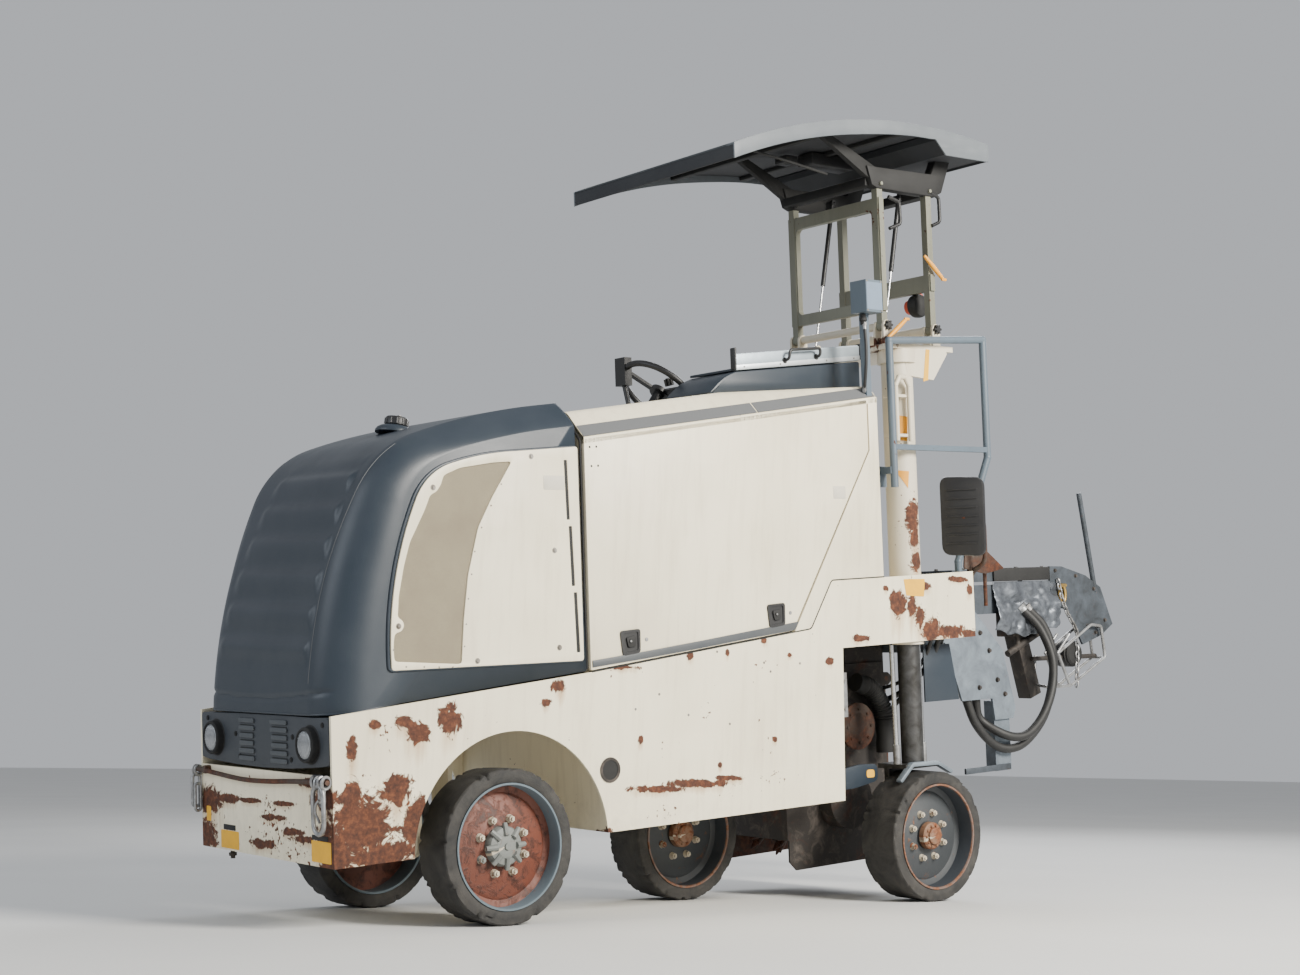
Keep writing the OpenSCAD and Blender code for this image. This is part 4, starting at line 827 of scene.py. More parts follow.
def hood_line(s):
    """Point (u, w) of the hood's middle line at a run s up from its lip, and its outward normal."""
    u, w, heading = HOOD_LIP
    for run, turn in HOOD_ARCS:
        part = min(s, run)
        radius, start = run / math.radians(turn), math.radians(heading)
        end = start + part / radius
        u += radius * (math.sin(end) - math.sin(start))
        w += radius * (math.cos(start) - math.cos(end))
        heading = math.degrees(end)
        s -= part
        if s <= 0:
            break
    way = math.radians(heading)
    u, w = u + max(0.0, s) * math.cos(way), w + max(0.0, s) * math.sin(way)
    out = math.radians(heading - 90)
    return u, w, math.cos(out), math.sin(out)


def hood_low(u):
    """Height of the hood's lower edge."""
    front, low, high = 645.0, 537.0, 629.0
    return high + (u - SEAM) * (low - high) / (front - SEAM) if u < front else low


def hood_point(s, t, waves=14.0):
    """Point of the hood's skin; t runs from -1 on the right side to 1 on the left."""
    u, w, nu, nw = hood_line(s)
    late = ease(s, 500, 1300)
    across, deep = 140 - 40 * late, 170 - 72 * late
    flat, power = 490 - across, 1.0 + 0.75 * ease(s, 800, 1450)
    if abs(t) <= 0.72:
        v, drop = t / 0.72 * flat, 0.0
    else:
        a = (abs(t) - 0.72) / 0.28 * math.pi / 2
        v = math.copysign(flat + across * math.sin(a) ** power, t)
        drop = deep * (1 - math.cos(a) ** power)
    # shingle-like waves on the nose, from a slanting left end to the thin seam
    top = s + 0.03 * (v + 260)
    phase = ((top - 284) / 127.5) % 1.0
    rise = ease(phase, 0.0, 0.62) if phase < 0.62 else 1 - ease(phase, 0.62, 1.0)
    left = -392 + 0.19 * max(0.0, w - 700)
    field = ease(v, left, left + 70) * (1 - ease(v, 314, 340)) * ease(s, 110, 250) * (1 - ease(s, 830, 1000))
    height = waves * rise * field
    # grip groove above the lip
    groove = 46 + 30 * ((v + 50) / 480) ** 2
    height -= 7.0 * math.exp(-(((s - groove) / 8.0) ** 2)) * (1 - ease(abs(v), 425, 450))
    # oval recess near the seam
    off = math.hypot((u + 392) / 24, (v - 165) / 78)
    height -= 13.0 * (1 - ease(off, 0.55, 1.0))
    height -= 8.0 * (v / 490) ** 4 * (1 - late)
    drop -= height
    return Vector((max(u - nu * drop, HOOD_END), v, w - nw * drop))


def hood_skin():
    """Moulded hood with round corners that turn into flat shoulders toward the seam."""
    bm = bmesh.new()
    bmesh.ops.create_grid(bm, x_segments=230, y_segments=128, size=1.0)
    edge = {-1: [], 1: []}
    for v in bm.verts:
        s, t = (v.co.x + 1) / 2 * HOOD_RUN, v.co.y
        for side in edge:
            if abs(t - side) < 1e-5:
                edge[side].append((s, v))
        v.co = hood_point(s, t)
        if s < 20:
            v.co.z = hood_low(v.co.x)
    for side, ring in edge.items():
        ring = [v for _, v in sorted(ring, key=lambda pair: pair[0])]
        corner = [bm.verts.new((u, side * 490.0, hood_low(u))) for u in (HOOD_END, -150.0, 150.0, 400.0)]
        bm.faces.new(ring + corner)
    bmesh.ops.recalc_face_normals(bm, faces=bm.faces)
    piece = finish_mesh(bm, "hood_skin", "hood", "hood")
    wall = piece.modifiers.new("wall", "SOLIDIFY")
    wall.thickness, wall.offset = HOOD_WALL * MM, -1.0
    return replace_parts(piece, "hood")


def hood_seam_line():
    bm = bmesh.new()
    line = [hood_point(s, 0.715 + 0.05 * ease(s, 300, 1100), 0.0) for s in range(104, 1060, 24)]
    pipe(bm, line, 1.5, 6)
    left = [hood_point(s, -0.82 + 0.08 * ease(s, 300, 1000), 0.0) for s in range(104, 1040, 24)]
    pipe(bm, left, 1.2, 6)
    finish_mesh(bm, "hood_patch_seam", "band", "hood", smooth=35)


def filler_cap():
    bm = bmesh.new()
    at = Matrix.Translation((96, 0, 1562)) @ Matrix.Rotation(math.radians(-11), 4, "Y")
    lathe(bm, [(0.01, -6), (78, -6), (78, 2), (72, 12), (60, 20), (46, 24), (0.01, 25)], at, 48, closed=False)
    finish_mesh(bm, "filler_dome", "hood", "hood", smooth=35)
    bm = bmesh.new()
    lathe(bm, [(0.01, 25), (42, 25), (45, 29), (45, 52), (41, 58), (30, 60), (0.01, 61)], at, 32, closed=False)
    for a in turns(12):
        x, y = 44 * math.cos(a), 44 * math.sin(a)
        rod(bm, at @ Vector((x, y, 30)), at @ Vector((x, y, 52)), 4, 6)
    finish_mesh(bm, "filler_cap", "black", "hood", smooth=35)
    bm = bmesh.new()
    block(bm, (-6, -22, 61), (6, 22, 66), 2)
    bmesh.ops.transform(bm, matrix=at, verts=bm.verts)
    pipe(bm, [at @ Vector(p) for p in ((-10, -14, 66), (-16, -26, 64), (-18, -38, 54))], 2.5, 8)
    finish_mesh(bm, "filler_key", "steel", "hood", smooth=35)


PANEL_EDGE = [(-400.0, 668.0), (-400.0, 1478.0)] + arc_path(
    (-120, 1455), -3, ((300, -14, 12), (200, -48, 14), (620, -28, 16))
)
WINDOW = (
    (-95, 1416), (-8, 1410), (135, 1388), (205, 1360), (214, 1330), (236, 1300), (262, 1290), (287, 1235),
    (330, 1160), (353, 1120), (380, 1035), (404, 930), (410, 858), (390, 846), (384, 828), (396, 808), (424, 802),
    (430, 760), (428, 704), (149, 682), (134, 845), (111, 1000), (62, 1172), (-3, 1283), (-64, 1371)
)
PANEL_BOLTS = ((81, 690), (-183, 1436), (-278, 1085), (-287, 722), (250, 1316), (408, 827))


def hood_side(side):
    """Cream side panel with its wire cloth window, screws, rivets and black slots."""
    name = "left" if side > 0 else "right"
    flip = Matrix.Diagonal((1, side, 1, 1))
    slots = [
        [
            (-384 + 15 * i, 700 + 250 * i), (-368 + 14 * i, 700 + 250 * i), (-362 + 14 * i, 926 + 250 * i),
            (-377 + 14 * i, 926 + 250 * i)
        ]
        for i in range(3)
    ]
    holes = [soften(WINDOW, 14)] + [soften(s, 3, 2) for s in slots]
    bm = bmesh.new()
    pierced(bm, soften(PANEL_EDGE, 12), holes, 9.0, on_side(490.5))
    rim = [e for e in bm.edges if e.is_manifold and e.calc_face_angle(0) > 1.2 and all(v.co.y > 498 for v in e.verts)]
    bmesh.ops.bevel(bm, geom=rim, offset=1.6, segments=2, profile=0.5, affect="EDGES", material=-1)
    bmesh.ops.transform(bm, matrix=flip, verts=bm.verts)
    piece = finish_mesh(bm, "hood_panel_cream_" + name, "cream", "hood")
    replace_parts(piece, "hood_panel_" + name)
    bm = bmesh.new()
    grown = [Vector(p) for p in soften(WINDOW, 14)]
    middle = sum(grown, Vector((0, 0))) / len(grown)
    side_plate(bm, [tuple(p + (p - middle).normalized() * 3) for p in grown], 490.3, 493.5)
    bmesh.ops.transform(bm, matrix=flip, verts=bm.verts)
    finish_mesh(bm, "wire_cloth_" + name, "mesh", "hood", smooth=35)
    bm = bmesh.new()
    for u, w in PANEL_BOLTS:
        rod(bm, (u, 499, w), (u, 501.5, w), 11, 20, 10)
        rod(bm, (u, 501, w), (u, 505, w), 7.5, 16, 5.5)
    edge = [
        (-40, 1331), (8, 1252), (52, 1172), (84, 1085), (101, 1003), (118, 915), (130, 824), (140, 745), (192, 673),
        (250, 676), (312, 680), (386, 684), (436, 745)
    ]
    for u, w in edge:
        rod(bm, (u - 5, 499, w), (u - 5, 501.6, w), 3.4, 10, 2.4)
    bmesh.ops.transform(bm, matrix=flip, verts=bm.verts)
    finish_mesh(bm, "panel_screws_" + name, "screw", "hood", smooth=35)
    # black plates behind the slots: painted shade inside the slots
    bm = bmesh.new()
    for slot in slots:
        side_plate(bm, slot, 490.2, 497.0)
    bmesh.ops.transform(bm, matrix=flip, verts=bm.verts)
    finish_mesh(bm, "panel_slot_shade_" + name, "matt_black", "hood", smooth=35)
    bead = [(u, side * 491, w) for u, w in soften([(u + (9 if u > -399 else 0), w) for u, w in PANEL_EDGE], 16)]
    bm = bmesh.new()
    pipe(bm, bead, 7.0, 10, closed=True)
    finish_mesh(bm, "panel_seal_" + name, "hood", "hood", smooth=35)


DECK_RISE = 0.137
WELL_FRONT, DECK_END = -1240.0, -2040.0


def lip(u):
    """Height of the fold between the side and the shoulder."""
    return 1512.0 + (SEAM - u) * DECK_RISE


def shoulder_top(u):
    front = 1512.0 + 110.0 + (SEAM - max(u, WELL_FRONT)) * DECK_RISE
    return front + max(0.0, WELL_FRONT - u) * 0.0692


def sill(u):
    """Top edge of the lower body."""
    return 622.0 + 120.0 * (SEAM - u) / 1167.0


def deck_ring(u, inner):
    """Cross-section of the deck's shell at u, thick 8, with round folds; inner is its right edge."""
    top, low = shoulder_top(u), lip(u)
    rise = top - low
    side = [(500, low), (500 - rise * 0.982, top)]
    fold = soften([(500, low - 60), side[0], side[1], (0, top)], 22, 3)[4:12]
    left = [(v, w) for v, w in fold]
    if inner < 0:
        outer = [(500, low + 1)] + left + [(-v, w) for v, w in reversed(left)] + [(-500, low + 1)]
    else:
        outer = [(500, low + 1)] + left + [(inner, top)]
    centre = Vector((0 if inner < 0 else 250, low - 200))
    under = [tuple(Vector(p) + (centre - Vector(p)).normalized() * 9) for p in outer]
    return [(u, v, w) for v, w in outer + under[::-1]]


def deck():
    bm = bmesh.new()
    loft(bm, [deck_ring(u, -500) for u in (-432.0, -700.0, -1000.0, WELL_FRONT)])
    loft(bm, [deck_ring(u, 20) for u in (WELL_FRONT - 0.2, -1500.0, -1800.0, DECK_END)])
    for u0, u1, v0, low in ((SEAM - 30, SEAM - 3, -470, 622.0), (DECK_END + 3, DECK_END + 30, 32, 962.0)):
        u = u1
        top, edge = shoulder_top(u) - 12, lip(u) - 2
        end = 500 - (top - edge) * 0.982 - 14
        outline = [
            (v0, low), (464, low), (464, edge), (end, top), (-end if v0 < 0 else v0, top)
        ] + ([(-464, edge)] if v0 < 0 else [])
        front_plate(bm, outline, u0, u1)
    for v in (-250, 250):
        rod(bm, (-421.5, v - 38, 1631), (-421.5, v + 38, 1631), 4, 12)
        for s in (-1, 1):
            side_plate(
                bm, [(-414, 1624), (-414, 1638), (-428, 1638), (-461, 1632), (-461, 1618), (-428, 1620)],
                v + s * 32 - 5.5, v + s * 32 + 5.5, 1.5
            )
    piece = finish_mesh(bm, "deck_shell", "cream")
    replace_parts(piece, "deck")
    bm = bmesh.new()
    for start, end in ((-434.0, -1334.0), (-1341.0, -2034.0)):
        rings = []
        for k in range(5):
            u = start + (end - start) * k / 4
            rings.append(
                [(u, v, lip(u) + rise) for v, rise in ((496.0, 4.5), (452.0, 48.5), (453.2, 49.7), (497.2, 5.7))]
            )
        loft(bm, rings)
    finish_mesh(bm, "shoulder_band", "band", smooth=20)
    bm = bmesh.new()
    pipe(
        bm,
        bent(
            [
                (-424, 484, 634), (-424, 484, 1506), (-424, 386, 1606), (-424, -386, 1606), (-424, -484, 1506),
                (-424, -484, 634)
            ],
            14
        ),
        5.0, 10
    )
    finish_mesh(bm, "seam_seal", "matt_black", smooth=35)


def body_sides():
    """Left door, the panel beside it and the panel on the right."""
    bm = bmesh.new()
    side_plate(
        bm,
        soften([(-432, 629), (-1489, sill(-1489) + 7), (-1977, 1500), (-1977, lip(-1977) - 4), (-432, 1509)], 5, 2),
        472, 500, 2.0
    )
    piece = finish_mesh(bm, "side_door", "cream", "left_door")
    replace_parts(piece, "left_door")
    bm = bmesh.new()
    side_plate(
        bm,
        [
            (-1498, sill(-1498) + 1), (-1592, 743), (-1722, 941), (DECK_END, 949), (DECK_END, lip(DECK_END)),
            (-1985, lip(-1985)), (-1985, 1500)
        ],
        472, 500, 1.5
    )
    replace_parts(finish_mesh(bm, "rear_side_panel", "cream"), "rear_panel_left")
    bm = bmesh.new()
    side_plate(
        bm,
        [
            (-426, 623), (-1228, sill(-1228)), (-1228, 950), (WELL_FRONT, 950), (WELL_FRONT, lip(WELL_FRONT)),
            (-426, lip(-426))
        ],
        -500, -472, 1.5
    )
    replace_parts(finish_mesh(bm, "right_panel_cream", "cream"), "right_side_panel")


def door_fittings():
    """Rail, latches and vent holes of the door; the holes are black discs, painted shade."""
    bm = bmesh.new()
    rail = [
        (-438, 640), (-700, 662), (-978, 689), (-1251, 718), (-1495, 741), (-1521, 776), (-1253, 748), (-978, 718),
        (-700, 690), (-438, 666)
    ]
    side_plate(bm, rail, 500.5, 504.5, 1.5)
    finish_mesh(bm, "door_rail", "dark_rail", "left_door")
    for k, (u, w) in enumerate(((-623, 728), (-1393, 806))):
        shape = [(u + 50, w + 44), (u - 50, w + 50), (u - 48, w - 42), (u + 38, w - 52)]
        bm = bmesh.new()
        pierced(
            bm, soften(shape, 14, 4), [soften([(x * 0.78 + u * 0.22, z * 0.78 + w * 0.22) for x, z in shape], 10, 4)],
            5.0, on_side(500.2)
        )
        side_plate(bm, soften([(x * 0.8 + u * 0.2, z * 0.8 + w * 0.2) for x, z in shape], 10, 4), 500.2, 501.2)
        finish_mesh(bm, "latch_bezel_%d" % k, "black", "left_door")
        bm = bmesh.new()
        side_plate(
            bm, soften([(u + 22, w + 18), (u - 26, w + 24), (u - 24, w - 18), (u + 12, w - 22)], 8, 3), 501, 508, 1.5
        )
        rod(bm, (u + 2, 507, w + 4), (u + 2, 511, w + 4), 8, 16, 7)
        finish_mesh(bm, "latch_paddle_%d" % k, "matt_black", "left_door")
        bm = bmesh.new()
        rod(bm, (u + 2, 510.5, w + 4), (u + 2, 512, w + 4), 5, 14, 4)
        rod(bm, (u - 82, 500, w + 7), (u - 82, 503, w + 7), 8, 18, 7)
        finish_mesh(bm, "latch_lock_%d" % k, "steel", "left_door")
    # vent holes as black discs on the door: painted shade
    bm = bmesh.new()
    for u, w in ((-458, 1478), (-490, 1480), (-464, 1405), (-496, 1407)):
        rod(bm, (u, 499.6, w), (u, 500.6, w), 4.5, 14)
    finish_mesh(bm, "door_vent_hole_shade", "matt_black", "left_door")


def blank_plates():
    """Blank plates on the door and the hood."""
    for name, u0, u1, w0, w1, body in (
        ("door_sign", -1826, -1752, 1288, 1342, "left_door"), ("hood_sign", -334, -236, 1312, 1366, "hood")
    ):
        bm = bmesh.new()
        out = 499.5 if body == "hood" else 500.0
        side_plate(bm, oblong(u0, w0, u1, w1, 5, 3), out - 0.2, out + 0.8, 0.3)
        finish_mesh(bm, name + "_plate", "sign", body)


def exhaust():
    """Ring of the exhaust in the left side, and a black disc in it for its soot and the painted shade of its depth.
    """
    bm = bmesh.new()
    turn = Matrix.Translation((-506, 499, 249)) @ SIDEWAYS
    lathe(bm, [(37, 0.5), (43, 0.5), (43, 1.5), (48, 1.5), (48, 4.5), (37, 4.5)], turn, 48)
    finish_mesh(bm, "exhaust_ring", "iron", slot="rust")
    # black disc in the ring: soot together with painted shade of the exhaust's depth
    bm = bmesh.new()
    lathe(bm, [(0.01, 1.2), (38, 1.2), (38, 2.4), (0.01, 2.4)], turn, 32, closed=False)
    finish_mesh(bm, "exhaust_soot_and_shade", "matt_black")


def side_fittings():
    """Seam between the panels and the hull, with the side's screws."""
    bm = bmesh.new()
    pipe(
        bm, bent([(-436, 500, sill(-436) + 1), (-1592, 500, 743), (-1722, 500, 943), (DECK_END, 500, 951)], 14), 3.0,
        6
    )
    finish_mesh(bm, "panel_seam", "matt_black")
    bm = bmesh.new()
    for u, w in (
        (-1318, 615), (-1352, 577), (-1519, 602), (-1066, 671), (-760, 520), (-905, 430), (-640, 470), (-1120, 380)
    ):
        rod(bm, (u, 499.5, w), (u, 502, w), 5.5, 12, 4)
    finish_mesh(bm, "hull_screws", "screw")


def louvre(bm, low, high, w, u):
    """One rounded bar of the grille, from low to high across the nose."""
    front_plate(bm, oblong(low, w, high, w + 17, 8, 4), u, u + 7, 1.8)


def nose():
    """Grey front panel."""
    bm = bmesh.new()
    outline = [
        (-486, 352), (-420, 345), (-200, 336), (0, 334), (200, 339), (420, 354), (486, 362), (486, 522), (200, 526),
        (-200, 526), (-486, 520)
    ]
    front_plate(bm, soften(outline, 14, 3), 645, 688, 4)
    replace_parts(finish_mesh(bm, "front_panel_grey", "slate"), "front_panel")


def grille():
    """Grille bars with black strips under them as painted shade of the gaps, and the front panel's screws."""
    bm = bmesh.new()
    for k in range(6):
        w = 500 - k * 27.5
        louvre(bm, -170 + (k in (2, 3)) * 4, -52 - 6 * (k in (2, 3)), w - 8, 687)
        louvre(bm, 72 + 8 * (k in (2, 3)), 196, w - 8, 687)
    finish_mesh(bm, "grille_bars", "slate_bar")
    bm = bmesh.new()
    # black strips on the solid panel: painted shade of the openings under the bars
    for k in range(5):
        w = 486 - k * 27.5
        for low, high in ((-166, -60), (80, 192)):
            front_plate(bm, soften([(low, w - 9), (high, w - 9), (high, w - 1), (low, w - 1)], 4, 3), 687.6, 689)
    finish_mesh(bm, "grille_gap_shade", "matt_black")
    bm = bmesh.new()
    for v, w in ((-202, 449), (-171, 368), (232, 452), (220, 372), (-430, 500), (446, 500)):
        rod(bm, (687, v, w), (691, v, w), 10, 20, 9)
        rod(bm, (690, v, w), (693, v, w), 6, 6, 5.5)
    finish_mesh(bm, "front_panel_screws", "matt_black")


def headlamps():
    """Round lamps in black housings."""
    for side in (-1, 1):
        turn = Matrix.Translation((686, side * 360, 430)) @ Matrix.Rotation(math.radians(90), 4, "Y")
        bm = bmesh.new()
        lathe(
            bm, [(50, -24), (50, 26), (53, 31), (58, 31), (62, 26), (64, 4), (69, 2), (70, -3), (44, -3), (44, -24)],
            turn, 56
        )
        finish_mesh(bm, "lamp_housing_%s" % ("right" if side < 0 else "left"), "matt_black")
        bm = bmesh.new()
        lathe(
            bm,
            [(0.01, 10), (46, 12), (50.5, 18), (50.5, 24), (48, 28), (40, 31.5), (28, 34), (14, 35.3), (0.01, 35.6)],
            turn, 56, closed=False
        )
        lens = finish_mesh(bm, "lamp_lens_%s" % ("right" if side < 0 else "left"), "glass", smooth=50)
        if side > 0:
            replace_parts(lens, "headlamps")


def lashing():
    """Lashing rod across the nose, with its rings."""
    bm = bmesh.new()
    pipe(
        bm,
        smooth_path(
            [
                (703, -512, 306), (704, -418, 303), (706, -143, 288), (706, 60, 290), (705, 250, 300),
                (704, 400, 306), (704, 500, 308)
            ],
            6
        ),
        9.0, 12
    )
    for v in (-430, 396):
        block(bm, (684, v - 12, 292), (710, v + 12, 322), 4)
    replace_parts(finish_mesh(bm, "lashing_rod", "rusty_iron", slot="steel"), "lashing_bar")
    bm = bmesh.new()
    for v, tip in ((418, 2), (440, -3), (464, 3), (488, -2)):
        ring = [
            (704 + 17 * math.cos(a) + tip * math.sin(a), v + 3 * math.cos(2 * a), 306 + 20 * math.sin(a))
            for a in turns(18)
        ]
        pipe(bm, ring, 6.5, 8, closed=True)
    pipe(bm, stadium((716, 454, 214), 46, 36), 8.0, 10, closed=True)
    pipe(bm, stadium((710, 470, 262), 18, 16), 6.0, 8, closed=True)
    pipe(
        bm, smooth_path([(722, 470, 250), (724, 452, 232), (720, 442, 205), (722, 462, 186), (720, 470, 172)], 5),
        4.5, 8
    )
    for v in (-497, -512):
        pipe(bm, [(700 + 14 * math.cos(a), v, 300 + 18 * math.sin(a)) for a in turns(16)], 6.0, 8, closed=True)
    hang = [
        (706 + 15 * math.cos(a), -505, 226 + (46 if math.sin(a) > 0 else -46) + 15 * math.sin(a)) for a in turns(20)
    ]
    pipe(bm, hang, 7.0, 10, closed=True)
    hang = [
        (706 + 11 * math.cos(a), -492, 200 + (40 if math.sin(a) > 0 else -40) + 11 * math.sin(a)) for a in turns(20)
    ]
    pipe(bm, hang, 6.0, 8, closed=True)
    finish_mesh(bm, "lashing_rings", "steel", smooth=40)


def nose_marks():
    """Blank yellow and black plates, and the bolt below them."""
    bm = bmesh.new()
    for v0, v1, w0, w1 in ((-344, -200, 22, 88), (346, 481, 30, 103), (-461, -425, 113, 168)):
        front_plate(bm, oblong(v0, w0, v1, w1, 4, 2), 684.8, 686, 0.3)
    finish_mesh(bm, "nose_marks_yellow", "worn_yellow")
    bm = bmesh.new()
    for v0, v1, w0, w1 in ((-322, -226, 90, 110), (350, 462, 105, 122)):
        front_plate(bm, oblong(v0, w0, v1, w1, 3, 2), 684.8, 686.2, 0.3)
    finish_mesh(bm, "nose_marks_black", "matt_black")
    bm = bmesh.new()
    rod(bm, (600, -424, 20), (600, -424, -36), 9, 14)
    rod(bm, (600, -424, -14), (600, -424, -26), 15, 6)
    finish_mesh(bm, "bumper_bolt", "iron")


# Console, seat, roof and canopy


def console():
    """Hollow console on the deck, with its lid, handle and end plates."""
    shape = [
        (-1240, 1733), (-1236, 1740), (-1262, 1764), (-1290, 1788), (-1320, 1808), (-1350, 1822), (-1384, 1835),
        (-2130, 1917), (-2130, 1797), (-2042, 1789)
    ]
    bm = bmesh.new()
    side_plate(bm, shape, 20, 320, 9)
    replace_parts(finish_mesh(bm, "console_shell", "hood"), "console")
    bm = bmesh.new()
    side_plate(
        bm, soften([(-1384, 1839), (-1384, 1904), (-1392, 1911), (-2122, 1990), (-2131, 1984), (-2131, 1921)], 10, 3),
        302, 320, 4
    )
    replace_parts(finish_mesh(bm, "lid_box", "alu", "console_lid"), "console_lid")
    bm = bmesh.new()
    side_plate(bm, [(-1384, 1839), (-1384, 1850), (-2040, 1922), (-2040, 1911)], 20, 303, 3)
    finish_mesh(bm, "lid_floor", "hood", "console_lid", slot="alu")
    bm = bmesh.new()
    side_plate(bm, [(-1386, 1841), (-1386, 1862), (-2129, 1943), (-2129, 1923)], 320, 323, 1)
    finish_mesh(bm, "lid_strip", "alu_light", "console_lid")
    bm = bmesh.new()
    pipe(
        bm,
        bent(
            [
                (-1668, 319, 1896), (-1670, 348, 1900), (-1676, 350, 1940), (-1857, 350, 1957), (-1858, 348, 1926),
                (-1858, 319, 1922)
            ],
            14
        ),
        6.5, 12
    )
    for u, w in ((-1668, 1896), (-1858, 1922)):
        rod(bm, (u, 319, w), (u, 324, w), 13, 16)
    finish_mesh(bm, "lid_handle", "black", "console_lid", smooth=35)
    bm = bmesh.new()
    for u, low, high in ((-1382, 1842, 1936), (-2133, 1925, 1996)):
        side_plate(bm, soften([(u + 4, low), (u + 4, high), (u - 4, high), (u - 4, low)], 3, 2), 294, 326, 1.5)
    finish_mesh(bm, "lid_end_plates", "black", "console_lid")
    bm = bmesh.new()
    for u in (-1430, -1640, -1920, -2090):
        rod(bm, (u, 322, 1852 + (-1384 - u) * 0.108), (u, 325, 1852 + (-1384 - u) * 0.108), 4, 10)
    finish_mesh(bm, "lid_rivets", "screw", "console_lid")


def leather(name, colour):
    f = Finish(name, 0.5)
    folds, grain, dust = f.noise(0.05, 5, 0.6, warp=0.8), f.cells(0.0035), f.noise(0.12, 4, 0.6)
    shade = f.mix(dust.step(0.45, 0.8) * 0.5, colour, tuple(c * 2.6 + 0.012 for c in colour))
    return f.paint(shade, rough=0.42 + dust * 0.25, height=folds * 0.8 + grain * 0.5, depth=0.0009)


def swollen(piece, cap):
    """Fills a closed piece like a cushion; no point moves farther than cap, in metres."""
    scene = bpy.context.scene
    remesh = piece.modifiers.new("even", "REMESH")
    remesh.mode, remesh.voxel_size = "VOXEL", 0.006
    even = bpy.data.meshes.new_from_object(piece.evaluated_get(bpy.context.evaluated_depsgraph_get()))
    piece.modifiers.clear()
    old, piece.data = piece.data, even
    rest = [v.co.copy() for v in even.vertices]
    cloth = piece.modifiers.new("filling", "CLOTH")
    cloth.settings.quality, cloth.settings.mass = 5, 0.3
    cloth.settings.use_pressure, cloth.settings.uniform_pressure_force = True, 4.0
    cloth.settings.effector_weights.gravity = 0.0
    for step in range(1, 21):
        scene.frame_set(step)
    full = bpy.data.meshes.new_from_object(piece.evaluated_get(bpy.context.evaluated_depsgraph_get()))
    piece.modifiers.clear()
    scene.frame_set(1)
    for vertex, start in zip(full.vertices, rest):
        move = vertex.co - start
        if move.length > cap:
            vertex.co = start + move.normalized() * cap
    piece.data = full
    bpy.data.meshes.remove(old)
    return piece


def cushion(name, low, high, channels, along, sizes):
    """One cushion: a crowned pad with sewn channels across it."""
    low, high = Vector(low), Vector(high)
    inset = sizes.swell * 0.8
    bm = bmesh.new()
    bmesh.ops.create_cube(
        bm, size=1.0,
        matrix=Matrix.Translation((low + high) / 2) @ Matrix.Diagonal(
            (*(high - low - Vector((inset, inset, inset)) * 2), 1.0)
        )
    )
    bmesh.ops.bevel(bm, geom=bm.edges[:], offset=26, segments=4, profile=0.5, affect="EDGES", material=-1)
    bmesh.ops.subdivide_edges(bm, edges=bm.edges[:], cuts=3, use_grid_fill=True)
    piece = finish_mesh(bm, name, "leather", smooth=0)
    piece.data.shade_smooth()
    swollen(piece, sizes.swell * 0.001)
    back = CHASSIS.inverted()
    bm = bmesh.new()
    bm.from_mesh(piece.data)
    bm.transform(back)
    for v in bm.verts:
        out = max(
            0.0, 1 - abs(v.co["uvw".index(along[1])] - (high if along[2] > 0 else low)["uvw".index(along[1])]) / 40.0
        )
        at = v.co["uvw".index(along[0])]
        for seam in channels:
            v.co["uvw".index(along[1])] -= along[2] * sizes.channel * out * math.exp(-(((at - seam) / 6.0) ** 2))
    bm.transform(CHASSIS)
    bm.to_mesh(piece.data)
    bm.free()
    piece.data.shade_smooth()
    smooth = piece.modifiers.new("smooth", "SUBSURF")
    smooth.levels = smooth.render_levels = 1
    return piece


def seat(sizes):
    base = cushion(
        "seat_cushion", (-2240, -460, 1290), (-1800, -60, 1390), (-1930, -2040, -2150), ("u", "w", 1), sizes
    )
    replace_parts(base, "seat")
    cushion("seat_back", (-2280, -450, 1392), (-2180, -70, 1800), (1500, 1600, 1700), ("w", "u", 1), sizes)
    bm = bmesh.new()
    outline = [(0.01, 950), (62, 950)]
    for k in range(11):
        outline += [(82 if k % 2 else 62, 968 + 28 * k)]
    outline += [(70, 1262), (0.01, 1262)]
    lathe(bm, outline, Matrix.Translation((-2025, -260, 0)) @ Matrix.Diagonal((1.5, 0.85, 1, 1)), 40, closed=False)
    finish_mesh(bm, "seat_bellows", "matt_black", smooth=50)
    bm = bmesh.new()
    block(bm, (-2215, -420, 1260), (-1830, -100, 1289), 6)
    block(bm, (-2296, -300, 1270), (-2281, -220, 1700), 5)
    block(bm, (-2296, -300, 1262), (-2200, -220, 1276), 5)
    finish_mesh(bm, "seat_frame", "black")


ROOF_R, ROOF_U, ROOF_W = 3060.0, -2360.0, -93.0
ROOF_FRONT, ROOF_BACK, ROOF_HALF = -1215.0, -2800.0, 550.0


def roof_w(u, down=0.0):
    return ROOF_W + math.sqrt((ROOF_R - down) ** 2 - (u - ROOF_U) ** 2)


ROOF_US = [ROOF_FRONT + (ROOF_BACK - ROOF_FRONT) * k / 40 for k in range(41)]


